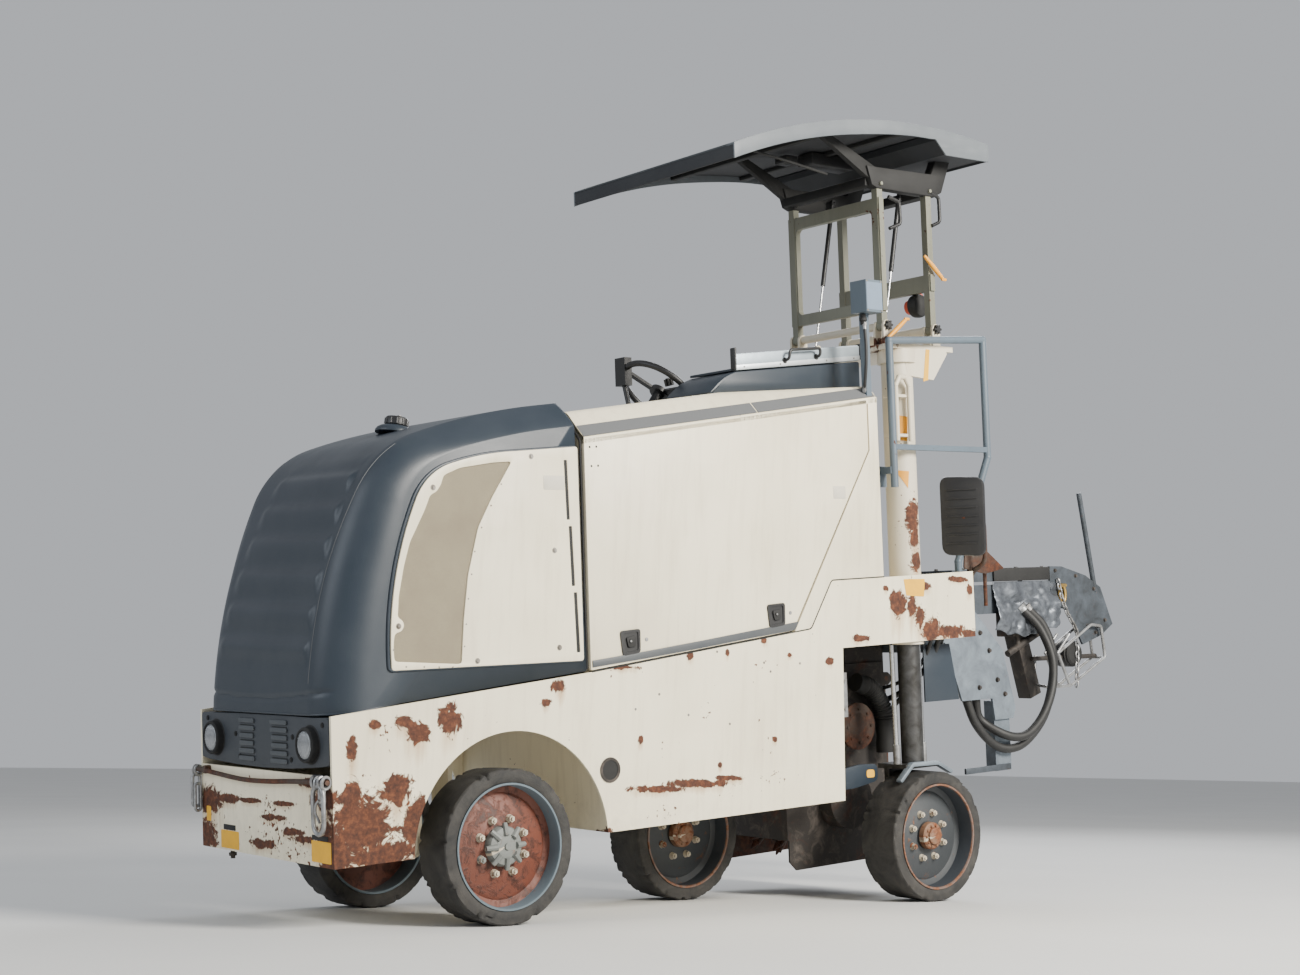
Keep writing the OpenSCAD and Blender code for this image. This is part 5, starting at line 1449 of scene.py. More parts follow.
def roof():
    """Arched roof: shell in a darker copy of the grey laminate as painted shade of its shaded front, and light side
    bands that deepen at the rear.
    """
    bm = bmesh.new()
    side_plate(
        bm, [(u, roof_w(u)) for u in ROOF_US] + [(u, roof_w(u, 10)) for u in reversed(ROOF_US)],
        -ROOF_HALF + 8, ROOF_HALF - 8,
        1.5
    )
    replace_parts(finish_mesh(bm, "roof_shell", "dark_roof", "canopy_roof"), "canopy_roof")
    bm = bmesh.new()
    for side in (-1, 1):
        low = [
            (u, roof_w(u) - (66 - 12 * ease(-u, 1900, 2430))) for u in ROOF_US if u > -2440
        ] + [(-2442, 2915), (-2507, 2850), (ROOF_BACK, 2884 - 30)]
        v0 = side * ROOF_HALF - (9 if side > 0 else 0)
        side_plate(bm, [(u, roof_w(u) + 0.6) for u in ROOF_US] + low[::-1], v0, v0 + 9, 2)
    for v in (-1, 1):
        low, high = sorted((v * 541, v * 500))
        side_plate(
            bm, [(u, roof_w(u) + 1.2) for u in ROOF_US] + [(u, roof_w(u, 8)) for u in reversed(ROOF_US)],
            low, high
        )
    finish_mesh(bm, "roof_bands", "roof", "canopy_roof")


def roof_liner():
    """Lips at both ends of the roof and the liner under it; the front lip's very dark colour is painted shade of the
    roof's shaded front fascia.
    """
    bm = bmesh.new()
    # front lip: its very dark colour is painted shade of the shaded front fascia
    front = [
        (ROOF_FRONT - 9, roof_w(ROOF_FRONT) - 4), (ROOF_FRONT, roof_w(ROOF_FRONT) - 4),
        (ROOF_FRONT, roof_w(ROOF_FRONT) - 62), (ROOF_FRONT - 9, roof_w(ROOF_FRONT) - 62)
    ]
    side_plate(bm, front, -541, 541, 2)
    side_plate(
        bm,
        [
            (ROOF_BACK, roof_w(ROOF_BACK) - 4), (ROOF_BACK + 9, roof_w(ROOF_BACK) - 4), (ROOF_BACK + 9, 2856),
            (ROOF_BACK, 2856)
        ],
        -541, 541, 2
    )
    inner = [u for u in ROOF_US if -2440 < u < ROOF_FRONT - 10]
    side_plate(bm, [(u, roof_w(u, 26)) for u in inner] + [(u, roof_w(u, 32)) for u in reversed(inner)], -541, 541)
    side_plate(
        bm,
        [(-2436, roof_w(-2436, 26)), (ROOF_BACK + 10, 2872), (ROOF_BACK + 10, 2866), (-2507, 2854), (-2442, 2912)],
        -541, 541
    )
    finish_mesh(bm, "roof_liner", "roof_liner", "canopy_roof")


def roof_rails():
    """Rails and braces under the roof, and its lamp box."""
    bm = bmesh.new()
    rail = [
        (-2120, 2784), (-2148, 2700), (-2180, 2688), (-2556, 2688), (-2606, 2712), (-2690, roof_w(-2690, 40)),
        (-2610, roof_w(-2610, 30)), (-2540, 2792), (-2200, 2784)
    ]
    brace = [(-1840, roof_w(-1840, 30)), (-1900, roof_w(-1900, 30)), (-2200, 2780), (-2160, 2720)]
    for v in (400, -140):
        side_plate(bm, rail, v - 24, v + 24, 4)
        side_plate(bm, brace, v - 14, v + 14, 3)
    for u, w in ((-2160, 2716), (-2576, 2716)):
        block(bm, (u - 30, -138, w - 18), (u + 30, 398, w + 22), 5)
    for u in (-1500, -1800, -2240, -2660):
        drop = roof_w(u, 32)
        block(bm, (u - 16, -536, drop - 20), (u + 16, 536, drop), 4)
    pipe(bm, bent([(-1480, 330, roof_w(-1480, 40)), (-1700, 330, 2775), (-1960, 330, 2742)], 60), 6, 8)
    finish_mesh(bm, "roof_rails", "matt_black", "canopy_roof")
    bm = bmesh.new()
    block(bm, (-2410, -40, 2866), (-2140, 60, 2925), 8)
    block(bm, (-2060, -30, 2858), (-1985, 50, 2895), 8)
    finish_mesh(bm, "roof_lamp_box", "black", "canopy_roof")


def canopy():
    """Handles and orange levers of the canopy's folding posts."""
    for name, body, points in (
        (
            "front", "canopy_front_link",
            [(-2236, 436, 2652), (-2300, 440, 2634), (-2304, 440, 2535), (-2236, 436, 2508)],
        ),
        (
            "rear", "canopy_rear_link",
            [(-2534, 420, 2704), (-2588, 420, 2690), (-2590, 420, 2576), (-2534, 420, 2552)],
        ),
    ):
        bm = bmesh.new()
        pipe(bm, bent(points, 16), 8.5, 12)
        finish_mesh(bm, "loop_handle_" + name, "black", body, smooth=35)
    for name, body, a, b in (
        ("upper", "canopy_rear_link", (-2461, 432, 2406), (-2568, 446, 2302)),
        ("lower", "chassis", (-2161, 470, 2005), (-2279, 474, 2097))
    ):
        bm = bmesh.new()
        a, b = Vector(a), Vector(b)
        pipe(
            bm, [a.lerp(b, k / 9) for k in range(10)], 9.0, 12, [0.7, 0.95, 1.0, 1.15, 1.2, 1.2, 1.15, 1.05, 1.0, 0.8]
        )
        block(bm, b - Vector((18, 5, 6)), b + Vector((12, 5, 6)), 3)
        finish_mesh(bm, "orange_lever_" + name, "orange", body, smooth=35)


def horn():
    """Horn on the rear post, with its red cap."""
    bm = bmesh.new()
    side = Matrix.Translation((-2552, 300, 2200)) @ SIDEWAYS
    lathe(
        bm, [(0.01, -30), (40, -30), (52, -22), (55, -4), (55, 8), (48, 20), (30, 26), (0.01, 28)], side, 36,
        closed=False
    )
    finish_mesh(bm, "horn", "matt_black", "canopy_rear_link", smooth=40)
    bm = bmesh.new()
    lathe(bm, [(0.01, -66), (24, -66), (34, -58), (36, -31), (0.01, -31)], side, 28, closed=False)
    block(bm, (-2600, 262, 2230), (-2560, 290, 2262), 5)
    finish_mesh(bm, "horn_cap", "red", "canopy_rear_link", smooth=40)


def post_fittings():
    """Pivot tubes, knobs, the small box's lid and glands, and the gusset's stripe."""
    bm = bmesh.new()
    rod(bm, (-2520, -106, 2070), (-2520, 367, 2070), 22, 24)
    rod(bm, (-2200, -106, 2070), (-2200, 367, 2070), 18, 24)
    finish_mesh(bm, "pivot_tubes", "worn_cream")
    bm = bmesh.new()
    for at in ((-2200, 432, 1975), (-2520, 432, 2070), (-2200, 432, 2070)):
        knob(bm, at, (0, 1, 0), 22, 16)
    finish_mesh(bm, "star_knobs", "black")
    bm = bmesh.new()
    for u, w in ((-1962, 2106), (-2048, 2106), (-1962, 2234), (-2048, 2234)):
        rod(bm, (u, 544, w), (u, 547, w), 5.5, 12, 4.5)
    finish_mesh(bm, "box_screws", "screw")
    bm = bmesh.new()
    block(bm, (-1958, 545, 2110), (-2052, 546.5, 2230), 0)
    finish_mesh(bm, "junction_box_lid", "box_lid")
    bm = bmesh.new()
    for w, r in ((2090, 18), (2074, 24), (2058, 18)):
        rod(bm, (-1985, 492, w - 8), (-1985, 492, w + 6), r * 0.7, 14)
    finish_mesh(bm, "box_glands", "matt_black")
    bm = bmesh.new()
    side_plate(bm, [(-2379, 1964), (-2404, 1964), (-2387, 1826), (-2355, 1818)], 490.2, 491.4)
    finish_mesh(bm, "gusset_stripe", "worn_yellow")


def cabin():
    """Steering wheel's knob and the mirror with its housing, glass and arm."""
    bm = bmesh.new()
    centre = Vector((-1400, -210, 1800))
    knob(bm, centre + Vector((30, 110, 20)), (0.3, 0, 1), 20, 34, 8)
    finish_mesh(bm, "wheel_knob", "black", smooth=35)
    # mirror in its ribbed housing, turned outward
    turn = Matrix.Translation((-2500, 560, 1210)) @ Matrix.Rotation(math.radians(30), 4, "Z")
    bm = bmesh.new()
    rim = soften([(-98, -170), (98, -182), (102, 172), (-98, 184)], 46, 6)
    face = turn @ Matrix.Rotation(math.radians(90), 4, "Y") @ Matrix.Rotation(math.radians(90), 4, "Z")
    plate(bm, rim, 34, face @ Matrix.Translation((0, 0, -20)), 9)
    for k in range(-3, 4):
        plate(
            bm, soften([(-70, k * 40 - 4), (70, k * 40 - 4), (70, k * 40 + 4), (-70, k * 40 + 4)], 3, 2), 5,
            face @ Matrix.Translation((0, 0, 13)), 1.5
        )
    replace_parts(finish_mesh(bm, "mirror_housing", "black", smooth=35), "side_mirror")
    bm = bmesh.new()
    plate(bm, [(x * 0.88, y * 0.93) for x, y in rim], 3, face @ Matrix.Translation((0, 0, -22)), 0.8)
    finish_mesh(bm, "mirror_glass", "mirror")
    bm = bmesh.new()
    pipe(
        bm,
        bent([(-2505, 560, 1205), (-2640, 560, 1200), (-2640, 560, 1000), (-2640, 470, 960), (-2640, 470, 880)], 40),
        11, 14
    )
    bmesh.ops.create_uvsphere(
        bm, u_segments=24, v_segments=16, radius=26, matrix=Matrix.Translation((-2512, 560, 1206))
    )
    rod(bm, (-2640, 470, 950), (-2640, 470, 985), 17, 8)
    finish_mesh(bm, "mirror_arm", "rusty_iron", slot="steel", smooth=40)


# Columns, drum, conveyor and hoses


def wrapped(bm, outline, u, v, radius):
    """A thin label wrapped on the outer side of an upright tube."""
    face = bm.faces.new([bm.verts.new((x, v + radius, w)) for x, w in outline])
    made = bmesh.ops.extrude_face_region(bm, geom=[face])
    bmesh.ops.translate(bm, vec=(0, 1.0, 0), verts=[g for g in made["geom"] if isinstance(g, bmesh.types.BMVert)])
    cuts = [e for e in bm.edges if abs(e.verts[0].co.x - e.verts[1].co.x) > 20]
    bmesh.ops.subdivide_edges(bm, edges=cuts, cuts=7, use_grid_fill=True)
    for vert in bm.verts:
        angle, deep = (vert.co.x - u) / radius, vert.co.y - v
        vert.co.x, vert.co.y = u + deep * math.sin(angle), v + deep * math.cos(angle)


ROD_TOP = 650.0  # where the guide rods enter the hull


def columns():
    """Marks of the left column and the guide rods beside it."""
    for k, outline in enumerate(
        ([(-2160, 1556), (-2238, 1548), (-2244, 1656), (-2166, 1668)], [(-2232, 1338), (-2240, 1414), (-2178, 1420)])
    ):
        bm = bmesh.new()
        wrapped(bm, outline, -2260, 420, 70.4)
        finish_mesh(bm, "column_mark_%d" % k, "worn_orange")
    rods = (((-2152, 420, ROD_TOP), (-2160, 420, 130), 11), ((-2320, 420, ROD_TOP), (-2324, 420, 130), 13))
    bm = bmesh.new()
    for top, low, radius in rods:
        rod(bm, low, top, radius, 20)
    shrinking = finish_mesh(bm, "guide_rods", "rod")
    bm = bmesh.new()
    for top, low, radius in rods:
        rod(bm, low, Vector(low).lerp(Vector(top), 0.16), radius + 6, 20)
    finish_mesh(bm, "guide_sockets", "steel", "leg_left")
    up = (CHASSIS.to_3x3() @ Vector((0, 0, 1))).normalized()
    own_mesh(shrinking)


def leg_fittings():
    """Strap and plate on the left leg."""
    bm = bmesh.new()
    front_plate_outline = soften(
        [(-2092, 66), (-2177, 138), (-2339, 134), (-2432, 86), (-2426, 70), (-2336, 116), (-2180, 120), (-2104, 56)],
        6, 3
    )
    side_plate(bm, front_plate_outline, 470, 500, 2)
    finish_mesh(bm, "leg_strap", "zinc", "leg_left")
    bm = bmesh.new()
    side_plate(
        bm,
        soften([(-1765, 88), (-1830, 130), (-1950, 144), (-2060, 138), (-2062, 66), (-1920, 44), (-1830, 44)], 26, 5),
        380, 396, 3
    )
    finish_mesh(bm, "leg_plate", "hood", "leg_left")
    bm = bmesh.new()
    side_plate(bm, soften([(-1990, 84), (-2040, 82), (-2038, 116), (-1992, 118)], 12, 3), 396, 397.2)
    finish_mesh(bm, "leg_plate_mark", "worn_yellow", "leg_left")


def column_plates():
    """Light strip, gusset and plates round the left column."""
    bm = bmesh.new()
    side_plate(bm, [(-1808, 358), (-1840, 358), (-1840, 547), (-1808, 547)], 444, 450, 1)
    for w in (392, 510):
        rod(bm, (-1824, 449, w), (-1824, 456, w), 8, 6)
    finish_mesh(bm, "zinc_strip", "steel")
    bm = bmesh.new()
    side_plate(
        bm, soften([(-2636, 1160), (-2705, 1087), (-2865, 974), (-2733, 951), (-2588, 978), (-2606, 1112)], 10, 3),
        470, 478, 1.5
    )
    pipe(bm, bent([(-2699, 420, 985), (-2773, 400, 1003), (-2817, 400, 965), (-2816, 400, 803)], 22), 9, 12)
    finish_mesh(bm, "column_gusset", "rusty_iron")
    bm = bmesh.new()
    side_plate(bm, [(-2386, 385), (-2612, 385), (-2560, 640), (-2386, 640)], 386, 394, 1)
    finish_mesh(bm, "inner_plate", "hood")
    bm = bmesh.new()
    side_plate(bm, soften([(-2162, 938), (-2298, 936), (-2288, 858), (-2176, 866)], 5, 2), 500.2, 501.2)
    finish_mesh(bm, "box_mark", "worn_yellow")


def drum():
    """Rusty disc and elbow at the milling drum's drive."""
    bm = bmesh.new()
    side = Matrix.Translation((-2230, 104, 280)) @ SIDEWAYS
    lathe(
        bm, [(0.01, 0), (100, 0), (106, 6), (106, 18), (84, 26), (60, 22), (40, 30), (0.01, 32)], side, 48,
        closed=False
    )
    for a in turns(8):
        bolt(bm, side @ Vector((76 * math.cos(a), 76 * math.sin(a), 22)), (0, 1, 0), 12, 7)
    finish_mesh(bm, "drive_disc", "rusty_iron")
    bm = bmesh.new()
    line = bent([(-2235, 110, 478), (-2330, 110, 450), (-2412, 110, 350), (-2414, 110, 150)], 90, 8)
    fine = smooth_path(line, 4)
    run, swell = 0.0, []
    for a, b in zip([fine[0]] + fine, fine):
        run += (b - a).length
        swell.append(1.0 + 0.07 * math.sin(run * math.tau / 16.0))
    pipe(bm, fine, 43, 20, swell)
    finish_mesh(bm, "duct_elbow", "matt_black", smooth=60)


BRACKET = "conveyor_bracket"


def bracket_chain():
    """Hanging chain and brass shackle."""
    bm = bmesh.new()
    chain(
        bm,
        [
            (-3602, 196, 916), (-3626, 198, 822), (-3663, 200, 741), (-3720, 202, 659), (-3727, 200, 578),
            (-3708, 198, 355)
        ],
        4.5, 30
    )
    finish_mesh(bm, "hanging_chain", "steel", BRACKET, smooth=50)
    bm = bmesh.new()
    ring = [(-3640 + 22 * math.cos(a), 190, 842 + 44 * math.sin(a)) for a in turns(24)]
    pipe(bm, ring, 9, 10, closed=True)
    rod(bm, (-3668, 190, 884), (-3612, 190, 884), 10, 14)
    finish_mesh(bm, "brass_shackle", "brass", BRACKET, smooth=50)


def work_lamp():
    """Work lamp in its wire cage."""
    bm = bmesh.new()
    guard = [(-3565, 550), (-3837, 682), (-3916, 672), (-3938, 514), (-3648, 383)]
    for v in (128, 206):
        pipe(bm, bent([(u, v, w) for u, w in guard + guard[:1]], 14), 8, 10)
    for u, w in guard[1:4]:
        rod(bm, (u + 4, 128, w - 3), (u + 4, 206, w - 3), 7, 10)
    rod(bm, (-3470, 206, 388), (-3650, 206, 384), 8, 10)
    rod(bm, (-3470, 206, 388), (-3470, 120, 400), 8, 10)
    rod(bm, (-3470, 120, 400), (-3505, 112, 540), 8, 10)
    for v in (128, 206):
        rod(bm, (-3560, v, 548), (-3660, v, 640), 7, 10)
    finish_mesh(bm, "lamp_cage", "steel", BRACKET)
    bm = bmesh.new()
    side = Matrix.Translation((-3720, 162, 540)) @ SIDEWAYS
    lathe(
        bm, [(0.01, -70), (58, -70), (66, -60), (66, 10), (60, 14), (60, 22), (52, 30), (0.01, 32)], side, 36,
        closed=False
    )
    finish_mesh(bm, "work_lamp", "matt_black", BRACKET, smooth=40)


def crumpled_guard():
    """Bent and folded sheet over the bracket's arm."""
    bm = bmesh.new()
    bmesh.ops.create_grid(bm, x_segments=72, y_segments=40, size=1.0)
    for v in bm.verts:
        along, up = (v.co.x + 1) / 2, (v.co.y + 1) / 2
        low = 640 + 90 * abs(along - 0.45) + 26 * noise.noise(Vector((along * 6, 0.3, 5.1)))
        u, w = -3128 - 478 * along, low + (912 - low) * up
        place = Vector((u * 0.005, w * 0.0075, 3.7))
        fold = abs(noise.noise(place)) + 0.5 * abs(noise.noise(place * 2.1)) + 0.2 * noise.noise(place * 5.3)
        v.co = Vector((u, 174 + 46 * fold * min(1.0, 2.2 - 2 * up), w))
    guard = finish_mesh(bm, "crumpled_guard", "foil", BRACKET, smooth=24)
    wall = guard.modifiers.new("wall", "SOLIDIFY")
    wall.thickness = 2.0 * MM


def bracket_plates():
    """Belt drive, beams, edges and bolts of the bracket and its tower."""
    bm = bmesh.new()
    for u, w in (
        (-2566, 700), (-2610, 648), (-2520, 742), (-2700, 864), (-2800, 842), (-2900, 676), (-2960, 590),
        (-3010, 450), (-3060, 380), (-2880, 420)
    ):
        bolt(bm, (u, 282, w), (0, 1, 0), 17, 9)
    finish_mesh(bm, "tower_bolts", "iron")
    bm = bmesh.new()
    block(bm, (-3092, 262, 22), (-2772, 276, 50), 3)
    finish_mesh(bm, "tower_beams", "zinc_dark")
    bm = bmesh.new()
    rod(bm, (-3250, 150, 560), (-3478, 150, 650), 17, 14)
    rod(bm, (-3330, 150, 600), (-3330, 130, 762), 14, 14)
    side_plate(bm, [(-3318, 700), (-3404, 706), (-3507, 356), (-3422, 330)], 60, 140, 6)
    side_plate(bm, [(-3300, 640), (-3560, 700), (-3560, 762), (-3300, 762)], 40, 150, 8)
    rod(bm, (-3430, 150, 528), (-3930, 150, 520), 12, 12)
    finish_mesh(bm, "belt_drive", "iron", BRACKET)
    bm = bmesh.new()
    block(bm, (-3140, 172, 915), (-3630, 181, 980), 3)
    finish_mesh(bm, "arm_edge", "matt_black", BRACKET)
    bm = bmesh.new()
    for u in (-2950, -3150, -3350, -3550):
        for v in (-20, 140):
            bolt(bm, (u, v, 975), (0, 0, 1), 16, 8)
    for u, w in ((-3600, 960), (-3760, 930), (-3900, 862), (-3980, 700), (-3900, 640)):
        bolt(bm, (u, 182, w), (0, 1, 0), 14, 7)
    finish_mesh(bm, "bracket_bolts", "iron", BRACKET)


HOSES = (
    # name, points, radius, body it rides on or the two it joins
    (
        "tower_hose_outer",
        [
            (-2817, 250, 374), (-2868, 262, 250), (-2966, 276, 152), (-3061, 296, 122), (-3180, 300, 150),
            (-3330, 286, 250), (-3430, 268, 400), (-3462, 256, 560), (-3436, 226, 690), (-3372, 190, 772)
        ],
        21.0, ("chassis", "conveyor_bracket"),
    ),
    (
        "tower_hose_inner",
        [
            (-2892, 246, 380), (-2930, 232, 270), (-3000, 300, 200), (-3090, 330, 176), (-3180, 338, 200),
            (-3290, 330, 280), (-3382, 310, 400), (-3412, 290, 540), (-3392, 240, 680), (-3330, 192, 772)
        ],
        21.0, ("chassis", "conveyor_bracket"),
    ),
    (
        "column_hose_a",
        [
            (-2392, 398, 938), (-2440, 424, 840), (-2468, 424, 700), (-2470, 350, 560), (-2452, 220, 440),
            (-2436, 66, 372)
        ],
        13.0, ("chassis",),
    ),
    (
        "column_hose_b",
        [
            (-2440, 390, 938), (-2500, 416, 850), (-2524, 400, 700), (-2510, 320, 560), (-2476, 190, 420),
            (-2452, 66, 300)
        ],
        11.0, ("chassis",),
    ),
    (
        "column_hose_c",
        [
            (-2350, 396, 938), (-2386, 434, 830), (-2406, 430, 680), (-2410, 340, 540), (-2404, 220, 470),
            (-2398, 64, 430)
        ],
        9.0, ("chassis",),
    ),
    (
        "box_cable",
        [
            (-1985, 498, 2050), (-1976, 512, 1960), (-1970, 514, 1880), (-1974, 500, 1800),
            (-1985, 482, 1764)
        ],
        7.0, ("chassis",),
    ),
)


def crossing_hose(name, points, radius):
    """A hose between two bodies of one joint: a fixed tube that follows its own points."""
    line = smooth_path(points, 5)
    bm = bmesh.new()
    pipe(bm, line, radius, 12)
    piece = finish_mesh(bm, name, "hose", None, smooth=50)
    path = [CHASSIS @ p for p in line]
    length = sum((b - a).length for a, b in zip(path, path[1:]))
    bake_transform(piece)


def hoses():
    ends = {}
    for name, points, radius, bodies in HOSES:
        if len(bodies) == 2:
            crossing_hose(name, points, radius)
        else:
            hose(name, points, radius, bodies[0])
        for body, at, near in ((bodies[0], points[0], points[1]), (bodies[-1], points[-1], points[-2])):
            way = (Vector(near) - Vector(at)).normalized()
            clamp(ends.setdefault(body, bmesh.new()), Vector(at) - way * radius * 1.2, way, radius)
    for body, bm in ends.items():
        finish_mesh(bm, "hose_ends_" + body, "steel", body)


# Settings


class PlanerWheels(bpy.types.PropertyGroup):
    """Sizes of the solid-tyred wheels, in millimetres."""

    tyre_radius: bpy.props.FloatProperty(
        name="Tyre radius", description="Outer radius of a solid tyre", default=280.0, min=200.0, max=400.0
    )
    rubber: bpy.props.FloatProperty(
        name="Rubber", description="Thickness of the rubber on its rim", default=54.0, min=20.0, max=90.0
    )
    front_width: bpy.props.FloatProperty(
        name="Front width", description="Width of a front tyre", default=178.0, min=100.0, max=260.0
    )
    rear_width: bpy.props.FloatProperty(
        name="Rear width", description="Width of a rear tyre", default=203.0, min=100.0, max=260.0
    )
    studs: bpy.props.IntProperty(name="Studs", description="Wheel studs on their circle", default=8, min=4, max=12)
    stud_circle: bpy.props.FloatProperty(
        name="Stud circle", description="Diameter of the stud circle", default=203.0, min=120.0, max=260.0
    )
    chipping: bpy.props.FloatProperty(
        name="Chipping", description="How deep the tyre's edges are torn", default=8.0, min=0.0, max=14.0
    )


class PlanerStage(bpy.types.PropertyGroup):
    """Floor, light and camera."""

    floor_colour: bpy.props.FloatVectorProperty(
        name="Floor", description="Colour of the floor", subtype="COLOR", size=3, default=(0.66, 0.66, 0.65)
    )
    sky_strength: bpy.props.FloatProperty(
        name="Sky", description="Strength of the even light", default=0.55, min=0.0, max=3.0
    )
    key_power: bpy.props.FloatProperty(
        name="Key light", description="Power of the large soft light", unit="POWER", default=2100.0, min=0.0,
        max=5000.0
    )
    lens: bpy.props.FloatProperty(
        name="Lens", description="Focal length on a 36 mm wide picture", unit="CAMERA", default=51.5, min=20.0,
        max=120.0
    )


class PlanerPaint(bpy.types.PropertyGroup):
    """Colours of the paint."""

    cream: bpy.props.FloatVectorProperty(
        name="Cream", description="Colour of the body's paint", subtype="COLOR", size=3, default=(0.86, 0.785, 0.595)
    )
    soiled: bpy.props.FloatVectorProperty(
        name="Soiled cream", description="Colour of the body's paint where it is dirty", subtype="COLOR", size=3,
        default=(0.50, 0.43, 0.30)
    )
    slate: bpy.props.FloatVectorProperty(
        name="Slate", description="Colour of the moulded hood", subtype="COLOR", size=3, default=(0.017, 0.026, 0.038)
    )


class PlanerSeat(bpy.types.PropertyGroup):
    """Filling of the seat's cushions, in millimetres."""

    swell: bpy.props.FloatProperty(
        name="Swell", description="How far a cushion may bulge", default=14.0, min=0.0, max=30.0
    )
    channel: bpy.props.FloatProperty(
        name="Channel", description="Depth of a sewn channel", default=7.0, min=0.0, max=15.0
    )


# Operators


CAMERA_TURN = (-2.24877, 0.144684, 0.012499)  # yaw, lift and lean of the photograph, in radians
CAMERA_PLACE = (3.8863, 6.1553, 0.3196)  # metres from the front axle


class PLANER_OT_stage(bpy.types.Operator):
    """Pale floor, soft light and the camera at the photograph's viewing angle"""

    bl_idname = "planer.stage"
    bl_label = "Stage"

    def execute(self, context):
        scene, sizes = context.scene, context.scene.planer_stage
        camera = bpy.data.objects.new("camera", bpy.data.cameras.new("camera"))
        scene.collection.objects.link(camera)
        scene.camera = camera
        camera.data.lens, camera.data.sensor_width, camera.data.sensor_fit = sizes.lens, 36.0, "HORIZONTAL"
        camera.data.clip_start, camera.data.clip_end = 0.1, 200.0
        yaw, lift, lean = CAMERA_TURN
        level = Vector((math.cos(yaw), math.sin(yaw), 0.0))
        up, right = Vector((0, 0, 1)), level.cross(Vector((0, 0, 1)))
        ahead = level * math.cos(lift) + up * math.sin(lift)
        top = up * math.cos(lift) - level * math.sin(lift)
        across = right * math.cos(lean) + top * math.sin(lean)
        top = top * math.cos(lean) - right * math.sin(lean)
        turn = Matrix((across, top, -ahead)).transposed().to_4x4()
        turn.translation = Vector(JOINTS["front_axle_swing"]["pos_m"]) + Vector(CAMERA_PLACE)
        camera.matrix_world = turn

        bm = bmesh.new()
        bmesh.ops.create_grid(bm, x_segments=1, y_segments=1, size=60.0)
        mesh = bpy.data.meshes.new("floor")
        bm.to_mesh(mesh)
        bm.free()
        floor = bpy.data.objects.new("floor", mesh)
        scene.collection.objects.link(floor)
        f = Finish("pale_floor", 0.85)
        grain = f.noise(0.012, 4, 0.6) * 0.5 + f.noise(1.2, 3, 0.5) * 0.5
        pale = tuple(sizes.floor_colour)
        mesh.materials.append(
            f.paint(f.mix(grain.step(0.3, 0.8), tuple(c * 0.88 for c in pale), pale), height=grain, depth=0.001)
        )

        world = bpy.data.worlds.new("even_light")
        scene.world = world
        world.use_nodes = True
        world.node_tree.nodes["Background"].inputs[0].default_value = (0.92, 0.95, 1.0, 1.0)
        world.node_tree.nodes["Background"].inputs[1].default_value = sizes.sky_strength
        for name, at, aim, power, size, colour in (
            ("key", (-1.5, 8.5, 5.5), (0.0, 0.0, 1.1), sizes.key_power, 3.2, (1.0, 0.96, 0.88)),
            ("front_fill", (8.5, -1.0, 4.0), (0.5, 0.0, 1.0), sizes.key_power * 0.09, 4.0, (0.85, 0.92, 1.0)),
            ("rim", (-6.0, -4.0, 6.0), (0.0, 0.0, 1.5), sizes.key_power * 0.2, 4.0, (0.95, 0.97, 1.0)),
        ):
            lamp = bpy.data.lights.new(name, "AREA")
            lamp.energy, lamp.size, lamp.color = power, size, colour
            light = bpy.data.objects.new(name, lamp)
            scene.collection.objects.link(light)
            light.location = at
            light.rotation_euler = (Vector(aim) - Vector(at)).to_track_quat("-Z", "Y").to_euler()
        return {"FINISHED"}


class PLANER_OT_finishes(bpy.types.Operator):
    """Paint, metal, plastic and rubber on the CAD pieces"""

    bl_idname = "planer.finishes"
    bl_label = "Finishes"

    def execute(self, context):
        build_finishes(context.scene.planer_paint)
        for name, node in NODES.items():
            node.data.materials.clear()
            node.data.materials.append(FINISHES[CAD_FINISH[name]])
        return {"FINISHED"}


def tyre_piece(name, body, place, width, sizes, seed, replaces):
    """Solid tyre with a slightly crowned tread and torn shoulders."""
    outer, inner = sizes.tyre_radius, sizes.tyre_radius - sizes.rubber + 0.5
    half, edge = width / 2, 13.0
    outline = [(inner, -half + 5), (inner + 6, -half), (outer - edge - 12, -half), (outer - edge, -half + 1.5)]
    outline += [
        (outer - edge + edge * math.sin(a), -half + edge - edge * math.cos(a))
        for a in (math.radians(d) for d in (30, 55, 78))
    ]
    outline += [
        (outer - 0.6 + 0.6 * math.cos(math.pi * t / (half - edge) / 2), t)
        for t in (-(half - edge), -half * 0.5, 0.0, half * 0.5, half - edge)
    ]
    outline += [(r, -h) for r, h in reversed(outline[:7])]
    bm = bmesh.new()
    lathe(bm, outline, SIDEWAYS, sides=160)
    for v in bm.verts:
        y, r = v.co.y, math.hypot(v.co.x, v.co.z)
        way = Vector((v.co.x, 0, v.co.z)).normalized()
        torn = noise.noise(Vector((v.co.x * 0.02 + seed, y * 0.05, v.co.z * 0.02)))
        nick = max(0.0, noise.noise(Vector((v.co.x * 0.055, seed * 3.1, v.co.z * 0.055))) - 0.12)
        if r > outer - edge - 2 and abs(y) > half - edge - 2:
            v.co -= way * (nick * sizes.chipping * 2.6)
            v.co.y -= math.copysign(nick * sizes.chipping * 1.6, y)
        elif r > outer - 3:
            v.co -= way * max(0.0, torn) * 1.4
    piece = finish_mesh(bm, name, "rubber", body, smooth=40, place=place)
    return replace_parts(piece, replaces)


